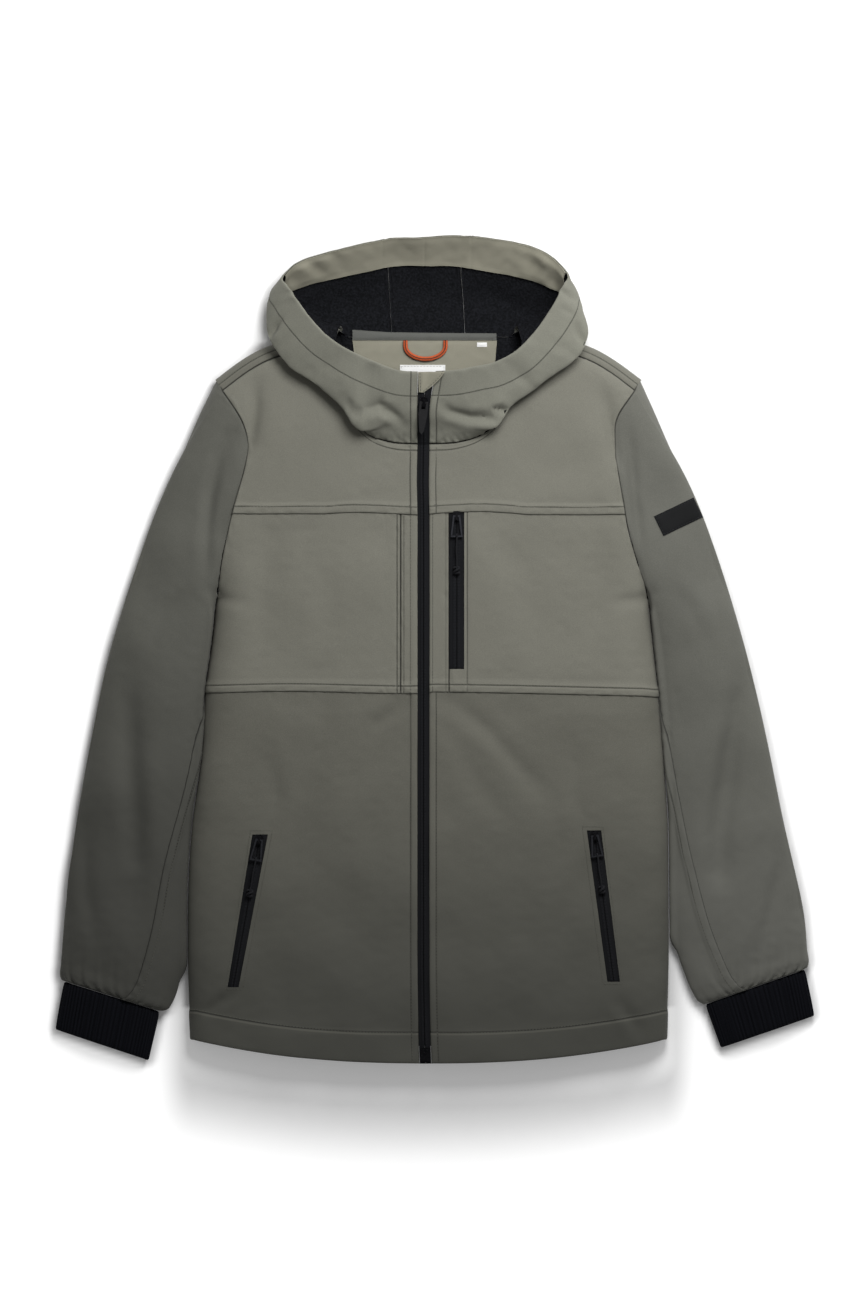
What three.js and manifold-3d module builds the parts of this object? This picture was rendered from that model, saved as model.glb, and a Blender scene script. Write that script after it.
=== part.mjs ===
// Hooded softshell jacket, zipped up and laid flat on its back. Millimetres, +Z up.
// +X is the wearer's left, +Y runs from hem to hood, and the back panel lies on Z = 0 round the origin.
import * as THREE from 'three';
import Module from 'manifold-3d';

const wasm = await Module();
wasm.setup();
const { Manifold } = wasm;
const { clamp, lerp, smoothstep } = THREE.MathUtils;

// Cloth and seams
const WALL = 1.6;
const RIB_WALL = 2;
const TRIM_WALL = 0.8;
const TAPE_WALL = 1;
const SEAM_GAP = 0.3;

// How the body rounds over at its folds
const LIP = 9;
const ROLL = 40;
const ROLL_POWER = 2.2;
const CROWN = 4;
const HALF_CHEST = 240;
const SHOULDER_WRAP = 13;

// Main zip
const TAPE_HALF = 5.8;
const TAPE_DROP = 0.5;

const RIGHT = { name: 'r', sign: -1, fold: 'right', armhole: 'right' };
const LEFT = { name: 'l', sign: 1, fold: 'left', armhole: 'left' };

// Distance of each side fold from the centre line, hem to armpit
const sideFolds = [
  { y: -390, right: 237.5, left: 237.8 },
  { y: -312, right: 240.5, left: 240 },
  { y: -231, right: 239.8, left: 239.6 },
  { y: -171, right: 235.5, left: 238.9 },
  { y: -100, right: 226, left: 234.2 },
  { y: -41, right: 222.5, left: 229 },
  { y: 0, right: 217, left: 224.5 },
  { y: 49, right: 211.5, left: 219.5 },
];

// Armhole from armpit to shoulder: its place on the front, how far the cloth goes on under the sleeve head
// before it would fold, and how far under that fold the back's armhole lies
const armholes = [
  { y: 49, right: 211.5, left: 219.5, beyond: 0, under: 0 },
  { y: 64, right: 210, left: 216.3, beyond: 4, under: 10 },
  { y: 89, right: 206.5, left: 208, beyond: 14, under: 20 },
  { y: 121, right: 199.5, left: 199, beyond: 30, under: 34 },
  { y: 148, right: 192.9, left: 194.5, beyond: 50, under: 53 },
  { y: 181, right: 183.5, left: 189, beyond: 60, under: 58 },
  { y: 207, right: 180.5, left: 186.5, beyond: 60, under: 56 },
  { y: 230, right: 187.5, left: 188, beyond: 60, under: 60 },
  { y: 258, right: 206.5, left: 205.5, beyond: 60, under: 65 },
];

// The side seam lies this far under the fold
const sideSeams = [
  { y: -40, under: 40 },
  { y: 0, under: 28 },
  { y: 30, under: 10 },
  { y: 49, under: 0 },
];

const shoulderSeams = [
  { x: 0, y: 308 },
  { x: 60, y: 308 },
  { x: 93.5, y: 307 },
  { x: 125, y: 299.5 },
  { x: 158, y: 289.5 },
  { x: 180, y: 277.5 },
  { x: 206, y: 258 },
];

// Height of the front's cloth over the table
const bodyLofts = [
  { y: -414, z: 27 },
  { y: -340, z: 31 },
  { y: -100, z: 33.5 },
  { y: 140, z: 34 },
  { y: 308, z: 33 },
];

const zipLine = [
  { y: -414, x: -3 },
  { y: -385, x: -4 },
  { y: -311, x: -5 },
  { y: 129, x: -5 },
  { y: 169, x: -5.6 },
  { y: 205, x: -5 },
];

// Half the front neck seam, from the zip to the shoulder
const neckFronts = [
  { at: 0, x: 8, y: 204.5 },
  { at: 0.2, x: 34, y: 206 },
  { at: 0.4, x: 58, y: 214 },
  { at: 0.6, x: 76, y: 232 },
  { at: 0.8, x: 87, y: 262 },
  { at: 1, x: 93.5, y: 307 },
];
const NECK_POINT = 93.5;
const NECK_CLIMB = 82;

// Yoke and waist seams, right sleeve side to left
const yokeSeam = [
  { x: -200, y: 139 },
  { x: -96, y: 140.5 },
  { x: -10, y: 136 },
  { x: 10, y: 137.5 },
  { x: 60, y: 140 },
  { x: 200, y: 138.5 },
];
const waistSeam = [
  { x: -222, y: -40.5 },
  { x: -140, y: -39 },
  { x: -18, y: -41 },
  { x: 8, y: -39.5 },
  { x: 211, y: -43 },
  { x: 229, y: -44 },
];
const HEM_MIDDLE = -413.8;
const HEM_RISE = 24;
const HEM_CURVE = 2.3;

// Chest seams beside the zip, and the chest zip
const STRIP_RIGHT = 27.8;
const STRIP_LEFT = 20.5;
const CHEST_ZIP = { inner: 20.5, outer: 35.6, top: 137, bottom: -20 };

// Hand pockets: reach from the centre line of the slot's two long edges, at its two ends
const HAND_RIGHT = { top: -185, bottom: -337.5, topIn: 160.2, topOut: 175.7, bottomIn: 189.5, bottomOut: 200.5 };
const HAND_LEFT = { top: -181, bottom: -332, topIn: 158, topOut: 172.3, bottomIn: 178.5, bottomOut: 191 };

// Sleeves from armhole to cuff: outer edge, inner edge and height
const SLEEVE_LIP = 8;
const sleeveRight = [
  { outX: -217.5, outY: 264.5, inX: -211.5, inY: 49, z: 30 },
  { outX: -240.5, outY: 221, inX: -214.6, inY: 34, z: 28 },
  { outX: -262.5, outY: 165, inX: -217, inY: 12, z: 27 },
  { outX: -292.5, outY: 81, inX: -224, inY: -30, z: 25 },
  { outX: -318.5, outY: -3, inX: -228.5, inY: -85, z: 24 },
  { outX: -336.5, outY: -87, inX: -235, inY: -155, z: 23 },
  { outX: -351.5, outY: -171, inX: -241.2, inY: -222, z: 22 },
  { outX: -362.5, outY: -255, inX: -242.5, inY: -292, z: 22 },
  { outX: -366.5, outY: -307, inX: -250, inY: -338, z: 21 },
  { outX: -367.5, outY: -325, inX: -259, inY: -357, z: 19 },
  { outX: -364.5, outY: -332, inX: -268.5, inY: -362, z: 16.5 },
];
const sleeveLeft = [
  { outX: 218.5, outY: 266, inX: 219.5, inY: 49, z: 30 },
  { outX: 239.5, outY: 221, inX: 222.6, inY: 34, z: 28 },
  { outX: 262.5, outY: 165, inX: 225, inY: 12, z: 27 },
  { outX: 292.5, outY: 81, inX: 230.8, inY: -30, z: 25 },
  { outX: 317.5, outY: -3, inX: 236, inY: -85, z: 24 },
  { outX: 337.5, outY: -87, inX: 240, inY: -155, z: 23 },
  { outX: 354.5, outY: -171, inX: 241.5, inY: -222, z: 22 },
  { outX: 373.5, outY: -255, inX: 244.5, inY: -285, z: 22 },
  { outX: 378.5, outY: -300, inX: 258, inY: -330, z: 21 },
  { outX: 379.5, outY: -313, inX: 268, inY: -349, z: 19 },
  { outX: 376.5, outY: -320, inX: 276.5, inY: -355, z: 16.5 },
];
const SLEEVE_END = 10;
const HEAD_REACH = 2.6;
const LEVEL = 0.8;
const VALLEY_TOP = 120;
const TWIST_GAP = 0.25;
const BACK_GAP = 0.4;
const CUFF_GAP = 0.5;

// Where the underarm seam lies across the sleeve's upper side, 1 being its inner edge
const underarmSeams = [
  { at: 0, share: 1 },
  { at: 3, share: 1 },
  { at: 4.5, share: 0.86 },
  { at: 7, share: 0.68 },
  { at: 10, share: 0.6 },
];

const cuffRight = { outX: -372.7, outY: -380.6, inX: -279.5, inY: -411.4, z: 15.5 };
const cuffLeft = { outX: 385.5, outY: -367, inX: 292.1, inY: -399, z: 15.5 };

// Hood sections round the opening, from the right front edge over the top to the left front edge:
// the opening's rim, the bulge outside it, the height half way to the neck, and the share of the neck seam
const hoodSections = [
  { rimX: -10.5, rimY: 276, rimZ: 60, bulgeX: -11, bulgeY: 240, bulgeZ: 53, lowZ: 44, neck: 0 },
  { rimX: -29.5, rimY: 277.5, rimZ: 61, bulgeX: -34, bulgeY: 237, bulgeZ: 53, lowZ: 44, neck: 0.05 },
  { rimX: -52.5, rimY: 285.5, rimZ: 62, bulgeX: -67, bulgeY: 225, bulgeZ: 50, lowZ: 43, neck: 0.11 },
  { rimX: -82.5, rimY: 299, rimZ: 62, bulgeX: -88, bulgeY: 247, bulgeZ: 50, lowZ: 42, neck: 0.18 },
  { rimX: -100, rimY: 311, rimZ: 61, bulgeX: -112, bulgeY: 267, bulgeZ: 48, lowZ: 41, neck: 0.24 },
  { rimX: -118.5, rimY: 330, rimZ: 58, bulgeX: -141, bulgeY: 284, bulgeZ: 45, lowZ: 38, neck: 0.3 },
  { rimX: -131, rimY: 347, rimZ: 54, bulgeX: -158, bulgeY: 307, bulgeZ: 38, lowZ: 33, neck: 1 / 3 },
  { rimX: -141, rimY: 362, rimZ: 49, bulgeX: -162, bulgeY: 330, bulgeZ: 31, lowZ: 28, neck: 0.338 },
  { rimX: -146.5, rimY: 369, rimZ: 43, bulgeX: -153.5, bulgeY: 353, bulgeZ: 25, lowZ: 4, neck: 0.352 },
  { rimX: -142, rimY: 378, rimZ: 39, bulgeX: -138, bulgeY: 361, bulgeZ: 21, lowZ: 0, neck: 0.364 },
  { rimX: -131, rimY: 387, rimZ: 36, bulgeX: -122, bulgeY: 367, bulgeZ: 18, lowZ: 0, neck: 0.378 },
  { rimX: -108, rimY: 395, rimZ: 33, bulgeX: -100, bulgeY: 372.5, bulgeZ: 15, lowZ: 0, neck: 0.4 },
  { rimX: -46, rimY: 409.5, rimZ: 30, bulgeX: -41, bulgeY: 385.5, bulgeZ: 13, lowZ: 0, neck: 0.435 },
  { rimX: -4, rimY: 412, rimZ: 29, bulgeX: -4, bulgeY: 387, bulgeZ: 12, lowZ: 0, neck: 0.5 },
  { rimX: 43, rimY: 413, rimZ: 30, bulgeX: 33, bulgeY: 386, bulgeZ: 13, lowZ: 0, neck: 0.565 },
  { rimX: 86, rimY: 406, rimZ: 33, bulgeX: 76, bulgeY: 379, bulgeZ: 15, lowZ: 0, neck: 0.598 },
  { rimX: 118, rimY: 396, rimZ: 36, bulgeX: 106, bulgeY: 372, bulgeZ: 18, lowZ: 0, neck: 0.618 },
  { rimX: 135, rimY: 382, rimZ: 39, bulgeX: 126, bulgeY: 363.5, bulgeZ: 21, lowZ: 0, neck: 0.634 },
  { rimX: 141, rimY: 371, rimZ: 43, bulgeX: 146, bulgeY: 352, bulgeZ: 25, lowZ: 4, neck: 0.648 },
  { rimX: 135, rimY: 362, rimZ: 49, bulgeX: 154, bulgeY: 332, bulgeZ: 31, lowZ: 28, neck: 0.662 },
  { rimX: 124, rimY: 342, rimZ: 54, bulgeX: 159, bulgeY: 314, bulgeZ: 38, lowZ: 33, neck: 2 / 3 },
  { rimX: 107, rimY: 317, rimZ: 58, bulgeX: 149, bulgeY: 292, bulgeZ: 45, lowZ: 38, neck: 0.7 },
  { rimX: 86, rimY: 296, rimZ: 61, bulgeX: 112, bulgeY: 267, bulgeZ: 48, lowZ: 41, neck: 0.76 },
  { rimX: 65, rimY: 285, rimZ: 62, bulgeX: 84, bulgeY: 247, bulgeZ: 50, lowZ: 42, neck: 0.82 },
  { rimX: 45, rimY: 281, rimZ: 62, bulgeX: 65, bulgeY: 226, bulgeZ: 50, lowZ: 43, neck: 0.89 },
  { rimX: 25, rimY: 277.5, rimZ: 61, bulgeX: 30, bulgeY: 238, bulgeZ: 53, lowZ: 44, neck: 0.95 },
  { rimX: 7, rimY: 276.5, rimZ: 60, bulgeX: 1, bulgeY: 241, bulgeZ: 53, lowZ: 44, neck: 1 },
].map((row, at) => ({ ...row, at }));
const HOOD_FRONT_END = 6;
const HOOD_BACK_END = 20;
const HOOD_LAST = 26;
const HOOD_CENTRE_START = 12;
const HOOD_CENTRE_END = 14;
const HOOD_LIFT = 0.7;

const COLOURS = {
  shell: 0x72736a,
  sleeve: 0x65665e,
  facing: 0x8b8879,
  tape: 0x68696a,
  black: 0x141519,
  rib: 0x0b0c10,
  label: 0xf2f2f0,
  orange: 0xd5602a,
  steel: 0xb9bbbf,
};

const group = new THREE.Group();
group.name = 'softshell_jacket';

function add(name, geometry, colour, metalness = 0, roughness = 0.8) {
  const material = new THREE.MeshStandardMaterial({ color: colour, roughness, metalness });
  const mesh = new THREE.Mesh(geometry, material);
  mesh.name = name;
  group.add(mesh);
  return mesh;
}

// Smooth curve through a table's rows, sorted by `key`
function through(rows, key, column, at) {
  let k = 0;
  while (k < rows.length - 2 && at > rows[k + 1][key]) k += 1;
  const slope = (i) => {
    const before = rows[Math.max(i - 1, 0)];
    const after = rows[Math.min(i + 1, rows.length - 1)];
    return (after[column] - before[column]) / (after[key] - before[key]);
  };
  const span = rows[k + 1][key] - rows[k][key];
  const t = clamp((at - rows[k][key]) / span, 0, 1);
  const start = rows[k][column] * (2 * t ** 3 - 3 * t ** 2 + 1) + slope(k) * span * (t ** 3 - 2 * t ** 2 + t);
  const end = rows[k + 1][column] * (3 * t ** 2 - 2 * t ** 3) + slope(k + 1) * span * (t ** 3 - t ** 2);
  return start + end;
}

// Rise of a rounded edge, 0 at the fold and 1 on the flat
function roundEdge(distance) {
  const t = clamp(distance / ROLL, 0, 1);
  return (1 - (1 - t) ** ROLL_POWER) ** (1 / ROLL_POWER);
}

function foldReach(side, y) {
  if (y <= 49) return through(sideFolds, 'y', side.fold, y);
  return through(armholes, 'y', side.armhole, y) + through(armholes, 'y', 'beyond', y);
}

const zipReach = (side, y) => side.sign * through(zipLine, 'y', 'x', y) + TAPE_HALF;
const yokeY = (side, reach) => through(yokeSeam, 'x', 'y', side.sign * reach);
const waistY = (side, reach) => through(waistSeam, 'x', 'y', side.sign * reach);

function hemY(side, reach) {
  return HEM_MIDDLE + HEM_RISE * clamp(reach / HALF_CHEST, 0, 1) ** HEM_CURVE;
}

// Shoulder seam point, and the direction in plan from it out over the shoulder's fold
function shoulder(side, reach) {
  const step = 0.5;
  const y = through(shoulderSeams, 'x', 'y', reach);
  const slope = (through(shoulderSeams, 'x', 'y', reach + step) - through(shoulderSeams, 'x', 'y', reach - step)) / (2 * step);
  const length = Math.hypot(slope, 1);
  return { x: side.sign * reach, y, outX: (-side.sign * slope) / length, outY: 1 / length, cosine: 1 / length };
}

// Soft troughs in the cloth: a line in plan, how wide and how deep
const creases = [
  { x0: -175.5, y0: 262, x1: -179, y1: 208, width: 13, depth: 2.4 },
  { x0: 177.5, y0: 246, x1: 185, y1: 200, width: 13, depth: 2.2 },
  { x0: -206, y0: 196, x1: -220, y1: 120, width: 10, depth: 2.2 },
  { x0: 205, y0: 175, x1: 214, y1: 92, width: 10, depth: 2.2 },
  { x0: 307.5, y0: -51, x1: 289.5, y1: -221, width: 11, depth: 2 },
  { x0: -300, y0: -60, x1: -292, y1: -210, width: 11, depth: 1.6 },
  { x0: 22, y0: -62, x1: 120, y1: -150, width: 20, depth: 1.2 },
  { x0: -40, y0: -90, x1: -130, y1: -190, width: 22, depth: 1 },
];

function creaseDepth(x, y) {
  const depths = creases.map((line) => {
    const [runX, runY] = [line.x1 - line.x0, line.y1 - line.y0];
    const along = clamp(((x - line.x0) * runX + (y - line.y0) * runY) / (runX ** 2 + runY ** 2), 0, 1);
    const away = Math.hypot(x - line.x0 - along * runX, y - line.y0 - along * runY);
    return line.depth * Math.exp(-((away / line.width) ** 2));
  });
  return depths.reduce((sum, depth) => sum + depth, 0);
}

const flatLoft = (y, reach) => through(bodyLofts, 'y', 'z', y) - CROWN * (reach / HALF_CHEST) ** 2;

function frontHeight(side, reach, y) {
  const seam = shoulder(side, Math.min(reach, 205));
  const fromShoulder = (seam.y - y) * seam.cosine + SHOULDER_WRAP;
  const rise = flatLoft(y, reach) - creaseDepth(side.sign * reach, y) - LIP;
  return LIP + rise * roundEdge(foldReach(side, y) - reach) * roundEdge(fromShoulder);
}

// Half section of the body at y: over the front, round the fold and back under to the centre line
function halfSection(side, y) {
  const fold = foldReach(side, y);
  const start = zipReach(side, y);
  const points = [];
  const flat = 14;
  for (let i = 0; i < flat; i += 1) points.push([lerp(start, fold - ROLL, i / flat), 0]);
  const turn = 30;
  for (let i = 0; i <= turn; i += 1) points.push([fold - ROLL * (1 - i / turn) ** 2, 0]);
  points.forEach((point) => {
    point[1] = frontHeight(side, point[0], y);
  });
  const foldIndex = points.length - 1;
  const under = 8;
  for (let i = 1; i <= under; i += 1) {
    const angle = (i / under) * (Math.PI / 2);
    points.push([fold - LIP + LIP * Math.cos(angle), LIP - LIP * Math.sin(angle)]);
  }
  points.push([0, 0]);
  const lengths = [0];
  for (let i = 1; i < points.length; i += 1) {
    const run = Math.hypot(points[i][0] - points[i - 1][0], points[i][1] - points[i - 1][1]);
    lengths.push(lengths[i - 1] + run);
  }
  return { points, lengths, fold, foldLength: lengths[foldIndex] };
}

function sectionPoint(side, y, length, section = halfSection(side, y)) {
  const { points, lengths } = section;
  let k = 0;
  while (k < points.length - 2 && length > lengths[k + 1]) k += 1;
  const t = (length - lengths[k]) / (lengths[k + 1] - lengths[k]);
  const reach = lerp(points[k][0], points[k + 1][0], t);
  return new THREE.Vector3(side.sign * reach, y, lerp(points[k][1], points[k + 1][1], t));
}

function lengthAtReach(section, reach) {
  const { points, lengths } = section;
  let k = 0;
  while (k < points.length - 2 && reach > points[k + 1][0]) k += 1;
  return lerp(lengths[k], lengths[k + 1], (reach - points[k][0]) / (points[k + 1][0] - points[k][0]));
}

// Length along the half section at which the front ends
function frontEnd(side, y) {
  const section = halfSection(side, y);
  if (y <= 49) return section.foldLength + through(sideSeams, 'y', 'under', y);
  return lengthAtReach(section, through(armholes, 'y', side.armhole, y));
}

function backStart(side, y) {
  const section = halfSection(side, y);
  const table = y <= 49 ? sideSeams : armholes;
  return section.foldLength + through(table, 'y', 'under', y);
}

// Closed cloth wall under a surface of u and v. Cells that `skip` names are left open.
function clothWall(surface, uKnots, vKnots, options = {}) {
  const { wall = WALL, outward = 1, closed = false, skip = () => false, gap = SEAM_GAP / 2, normalAt, lift = 0 } = options;
  const columns = uKnots.length - 1;
  const rows = vKnots.length - 1;
  const width = closed ? columns : columns + 1;
  const outer = [];
  const step = 0.004;
  const normals = [];
  for (let j = 0; j <= rows; j += 1) {
    for (let i = 0; i < width; i += 1) {
      const [u, v] = [uKnots[i], vKnots[j]];
      outer.push(surface(u, v));
      const along = surface(u + step, v).sub(surface(u - step, v));
      const across = surface(u, v + step).sub(surface(u, v - step));
      const normal = along.cross(across).multiplyScalar(outward).normalize();
      normals.push((normalAt && normalAt(i, j)) || normal);
    }
  }
  const index = (i, j) => j * width + (i % width);
  const pulled = outer.map((point) => point.clone());
  const pull = (i, j, k, l) => {
    const move = outer[index(k, l)].clone().sub(outer[index(i, j)]);
    pulled[index(i, j)].add(move.setLength(gap));
  };
  for (let i = 0; i < width; i += 1) {
    pull(i, 0, i, 1);
    pull(i, rows, i, rows - 1);
  }
  if (!closed) {
    for (let j = 0; j <= rows; j += 1) {
      pull(0, j, 1, j);
      pull(columns, j, columns - 1, j);
    }
  }
  const positions = [];
  [lift, lift - wall].forEach((distance) => pulled.forEach((point, k) => {
    const place = point.clone().addScaledVector(normals[k], distance);
    positions.push(place.x, place.y, Math.max(place.z, 0));
  }));
  const below = pulled.length;
  const faces = [];
  const quad = (a, b, c, d) => faces.push(a, b, c, a, c, d);
  const there = (i, j) => {
    if (j < 0 || j >= rows) return false;
    if (!closed && (i < 0 || i >= columns)) return false;
    return !skip((i + columns) % columns, j);
  };
  for (let j = 0; j < rows; j += 1) {
    for (let i = 0; i < columns; i += 1) {
      if (!there(i, j)) continue;
      const [a, b, c, d] = [index(i, j), index(i + 1, j), index(i + 1, j + 1), index(i, j + 1)];
      quad(a, b, c, d);
      quad(a + below, d + below, c + below, b + below);
      if (!there(i, j - 1)) quad(a, a + below, b + below, b);
      if (!there(i + 1, j)) quad(b, b + below, c + below, c);
      if (!there(i, j + 1)) quad(c, c + below, d + below, d);
      if (!there(i - 1, j)) quad(d, d + below, a + below, a);
    }
  }
  if (outward < 0) {
    for (let f = 0; f < faces.length; f += 3) [faces[f + 1], faces[f + 2]] = [faces[f + 2], faces[f + 1]];
  }
  return fromTriangles(positions, faces);
}

function fromTriangles(positions, faces) {
  const geometry = new THREE.BufferGeometry();
  geometry.setAttribute('position', new THREE.Float32BufferAttribute(positions, 3));
  geometry.setIndex(dropUnused(positions, faces, geometry));
  geometry.computeVertexNormals();
  return geometry;
}

// Keeps only the points that some face uses
function dropUnused(positions, faces, geometry) {
  const places = new Map();
  const kept = [];
  const indices = faces.map((vertex) => {
    if (!places.has(vertex)) {
      places.set(vertex, places.size);
      kept.push(...positions.slice(3 * vertex, 3 * vertex + 3));
    }
    return places.get(vertex);
  });
  geometry.setAttribute('position', new THREE.Float32BufferAttribute(kept, 3));
  return indices;
}

const even = (count, start = 0, end = 1) => Array.from({ length: count + 1 }, (_, i) => lerp(start, end, i / count));
const join = (...lists) => lists.flatMap((list, k) => (k ? list.slice(1) : list));

// Front panels below the yoke
const LOWER_HEM_ROWS = 3;
const LOWER_POCKET_ROWS = 5;
const LOWER_TOP_ROWS = 3;
const CHEST_LOW_ROWS = 6;
const YOKE_ROWS = 6;
const NECK_COLUMNS = 9;
const SHOULDER_COLUMNS = 4;

// Row lines of the lower panel, 0 at the hem and 1 at the waist seam, with breaks at the pocket's two ends
const lowerKnots = join(even(LOWER_HEM_ROWS, 0, 0.25), even(LOWER_POCKET_ROWS, 0.25, 0.7), even(LOWER_TOP_ROWS, 0.7, 1));

function lowerRowY(side, v, reach) {
  const pocket = side === RIGHT ? HAND_RIGHT : HAND_LEFT;
  if (v < 0.25) return lerp(hemY(side, reach), pocket.bottom, v / 0.25);
  if (v < 0.7) return lerp(pocket.bottom, pocket.top, (v - 0.25) / 0.45);
  return lerp(pocket.top, waistY(side, reach), (v - 0.7) / 0.3);
}

// Row lines of the chest, 0 at the waist seam, a half at the armpit and 1 at the yoke seam
const chestKnots = [0, 0.12, 0.26, 0.35, 0.41, 0.46, 0.5, 0.54, 0.6, 0.7, 0.84, 1];

function chestRowY(side, v, reach) {
  const ends = [waistY(side, reach), CHEST_ZIP.bottom, 49, yokeY(side, reach)];
  if (v < 0.12) return lerp(ends[0], ends[1], v / 0.12);
  if (v < 0.5) return lerp(ends[1], ends[2], (v - 0.12) / 0.38);
  return lerp(ends[2], ends[3], (v - 0.5) / 0.5);
}

// Surface between two lines of the half section, with its rows given by rowY
function sectionSurface(side, inner, outer, rowY) {
  return (u, v) => {
    const middle = rowY(side, v, 120);
    const length = lerp(inner(middle), outer(middle), u);
    const reach = Math.min(zipReach(side, middle) + length, foldReach(side, middle));
    const y = rowY(side, v, reach);
    return sectionPoint(side, y, lerp(inner(y), outer(y), u));
  };
}

// Slot lines run on past the slot's ends to the panel's top and bottom edges
function slotReach(pocket, edge, y) {
  const t = (y - pocket.bottom) / (pocket.top - pocket.bottom);
  return lerp(pocket[`bottom${edge}`], pocket[`top${edge}`], t);
}

const SLOT_START = 0.42;
const SLOT_STOP = 0.48;
const INNER_COLUMNS = 6;
const OUTER_COLUMNS = 9;

function lowerSurface(side) {
  const pocket = side === RIGHT ? HAND_RIGHT : HAND_LEFT;
  const line = (y, u) => {
    const slotIn = slotReach(pocket, 'In', y) - zipReach(side, y);
    const slotOut = slotReach(pocket, 'Out', y) - zipReach(side, y);
    if (u < SLOT_START) return slotIn * (u / SLOT_START);
    if (u < SLOT_STOP) return lerp(slotIn, slotOut, (u - SLOT_START) / (SLOT_STOP - SLOT_START));
    return lerp(slotOut, frontEnd(side, y), (u - SLOT_STOP) / (1 - SLOT_STOP));
  };
  return (u, v) => {
    const middle = lowerRowY(side, v, 120);
    const reach = Math.min(zipReach(side, middle) + line(middle, u), foldReach(side, middle));
    const y = lowerRowY(side, v, reach);
    return sectionPoint(side, y, line(y, u));
  };
}

function frontLower(side) {
  const uKnots = join(even(INNER_COLUMNS, 0, SLOT_START), [SLOT_START, SLOT_STOP], even(OUTER_COLUMNS, SLOT_STOP, 1));
  const skip = (i, j) => i === INNER_COLUMNS && j >= LOWER_HEM_ROWS && j < LOWER_HEM_ROWS + LOWER_POCKET_ROWS;
  return clothWall(lowerSurface(side), uKnots, lowerKnots, { outward: side.sign, skip });
}

const stripReach = (side) => (side === RIGHT ? STRIP_RIGHT : STRIP_LEFT);
const CHEST_SLOT_SHARE = 0.08;

function chestSurface(side) {
  const strip = (y) => stripReach(side) - zipReach(side, y);
  const slot = (y) => (side === RIGHT ? STRIP_RIGHT + 15 : CHEST_ZIP.outer) - zipReach(side, y);
  const end = (y) => frontEnd(side, y);
  const near = sectionSurface(side, strip, slot, chestRowY);
  const far = sectionSurface(side, slot, end, chestRowY);
  return (u, v) => {
    if (u < CHEST_SLOT_SHARE) return near(u / CHEST_SLOT_SHARE, v);
    return far((u - CHEST_SLOT_SHARE) / (1 - CHEST_SLOT_SHARE), v);
  };
}

function frontChest(side) {
  const uKnots = join([0, CHEST_SLOT_SHARE], even(5, CHEST_SLOT_SHARE, 0.7), even(6, 0.7, 1));
  const skip = (i, j) => side === LEFT && i === 0 && j >= 1;
  return clothWall(chestSurface(side), uKnots, chestKnots, { outward: side.sign, skip });
}

function chestStrip(side) {
  const surface = sectionSurface(side, () => 0, (y) => stripReach(side) - zipReach(side, y), chestRowY);
  return clothWall(surface, even(1), chestKnots, { outward: side.sign });
}

// Neck seam by share: the right front, the back from shoulder to shoulder, and the left front
function neckSeam(share) {
  const third = share * 3;
  if (third > 1 && third < 2) {
    const x = lerp(-NECK_POINT, NECK_POINT, third - 1);
    return backNeck(x);
  }
  const side = third <= 1 ? RIGHT : LEFT;
  const at = third <= 1 ? third : 3 - third;
  const y = through(neckFronts, 'at', 'y', at);
  const start = zipReach(side, 204.5);
  const reach = lerp(start, 0, at) + through(neckFronts, 'at', 'x', at) - lerp(8, 0, at);
  return new THREE.Vector3(side.sign * reach, y, frontHeight(side, reach, y));
}

function backNeck(x) {
  const side = x < 0 ? RIGHT : LEFT;
  return shoulderWrap(side, Math.abs(x), climb(Math.abs(x)));
}

const climb = (reach) => smoothstep(reach, NECK_CLIMB, NECK_POINT);

// Path of the back over the shoulder's fold: 0 on the table and 1 at the shoulder seam
const WRAP_TURN = 0.45;
const WRAP_LENGTH = 34;

function shoulderWrap(side, reach, share) {
  const seam = shoulder(side, reach);
  let inside = 0;
  let z = 0;
  if (share < WRAP_TURN) {
    const angle = (share / WRAP_TURN) * (Math.PI / 2);
    inside = LIP * (1 - Math.sin(angle));
    z = LIP * (1 - Math.cos(angle));
  } else {
    inside = SHOULDER_WRAP * ((share - WRAP_TURN) / (1 - WRAP_TURN)) ** 2;
    z = LIP + (flatLoft(seam.y, reach) - LIP) * roundEdge(inside);
  }
  const out = SHOULDER_WRAP - inside;
  return new THREE.Vector3(seam.x + seam.outX * out, seam.y + seam.outY * out, z);
}

// Yoke: its lower edge, neck and shoulder above, the zip and the armhole at its ends
const NECK_SHARE = 0.5;
const neckKnots = even(NECK_COLUMNS, 0, NECK_SHARE);
const shoulderKnots = even(SHOULDER_COLUMNS, NECK_SHARE, 1);
const shoulderReach = (u) => lerp(NECK_POINT, 206, (u - NECK_SHARE) / (1 - NECK_SHARE));

function yokeTop(side, u) {
  if (u <= NECK_SHARE) {
    const at = u / NECK_SHARE / 3;
    return neckSeam(side === RIGHT ? at : 1 - at);
  }
  const seam = shoulder(side, shoulderReach(u));
  return new THREE.Vector3(seam.x, seam.y, 0);
}

function armholeReach(side, v) {
  const lowY = yokeY(side, 195);
  const y = lerp(lowY, 258, v);
  const tip = Math.abs(yokeTop(side, 1).x);
  const fit = smoothstep(y, 230, 258) * (tip - through(armholes, 'y', side.armhole, 258));
  return { reach: through(armholes, 'y', side.armhole, y) + fit, y };
}

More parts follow.
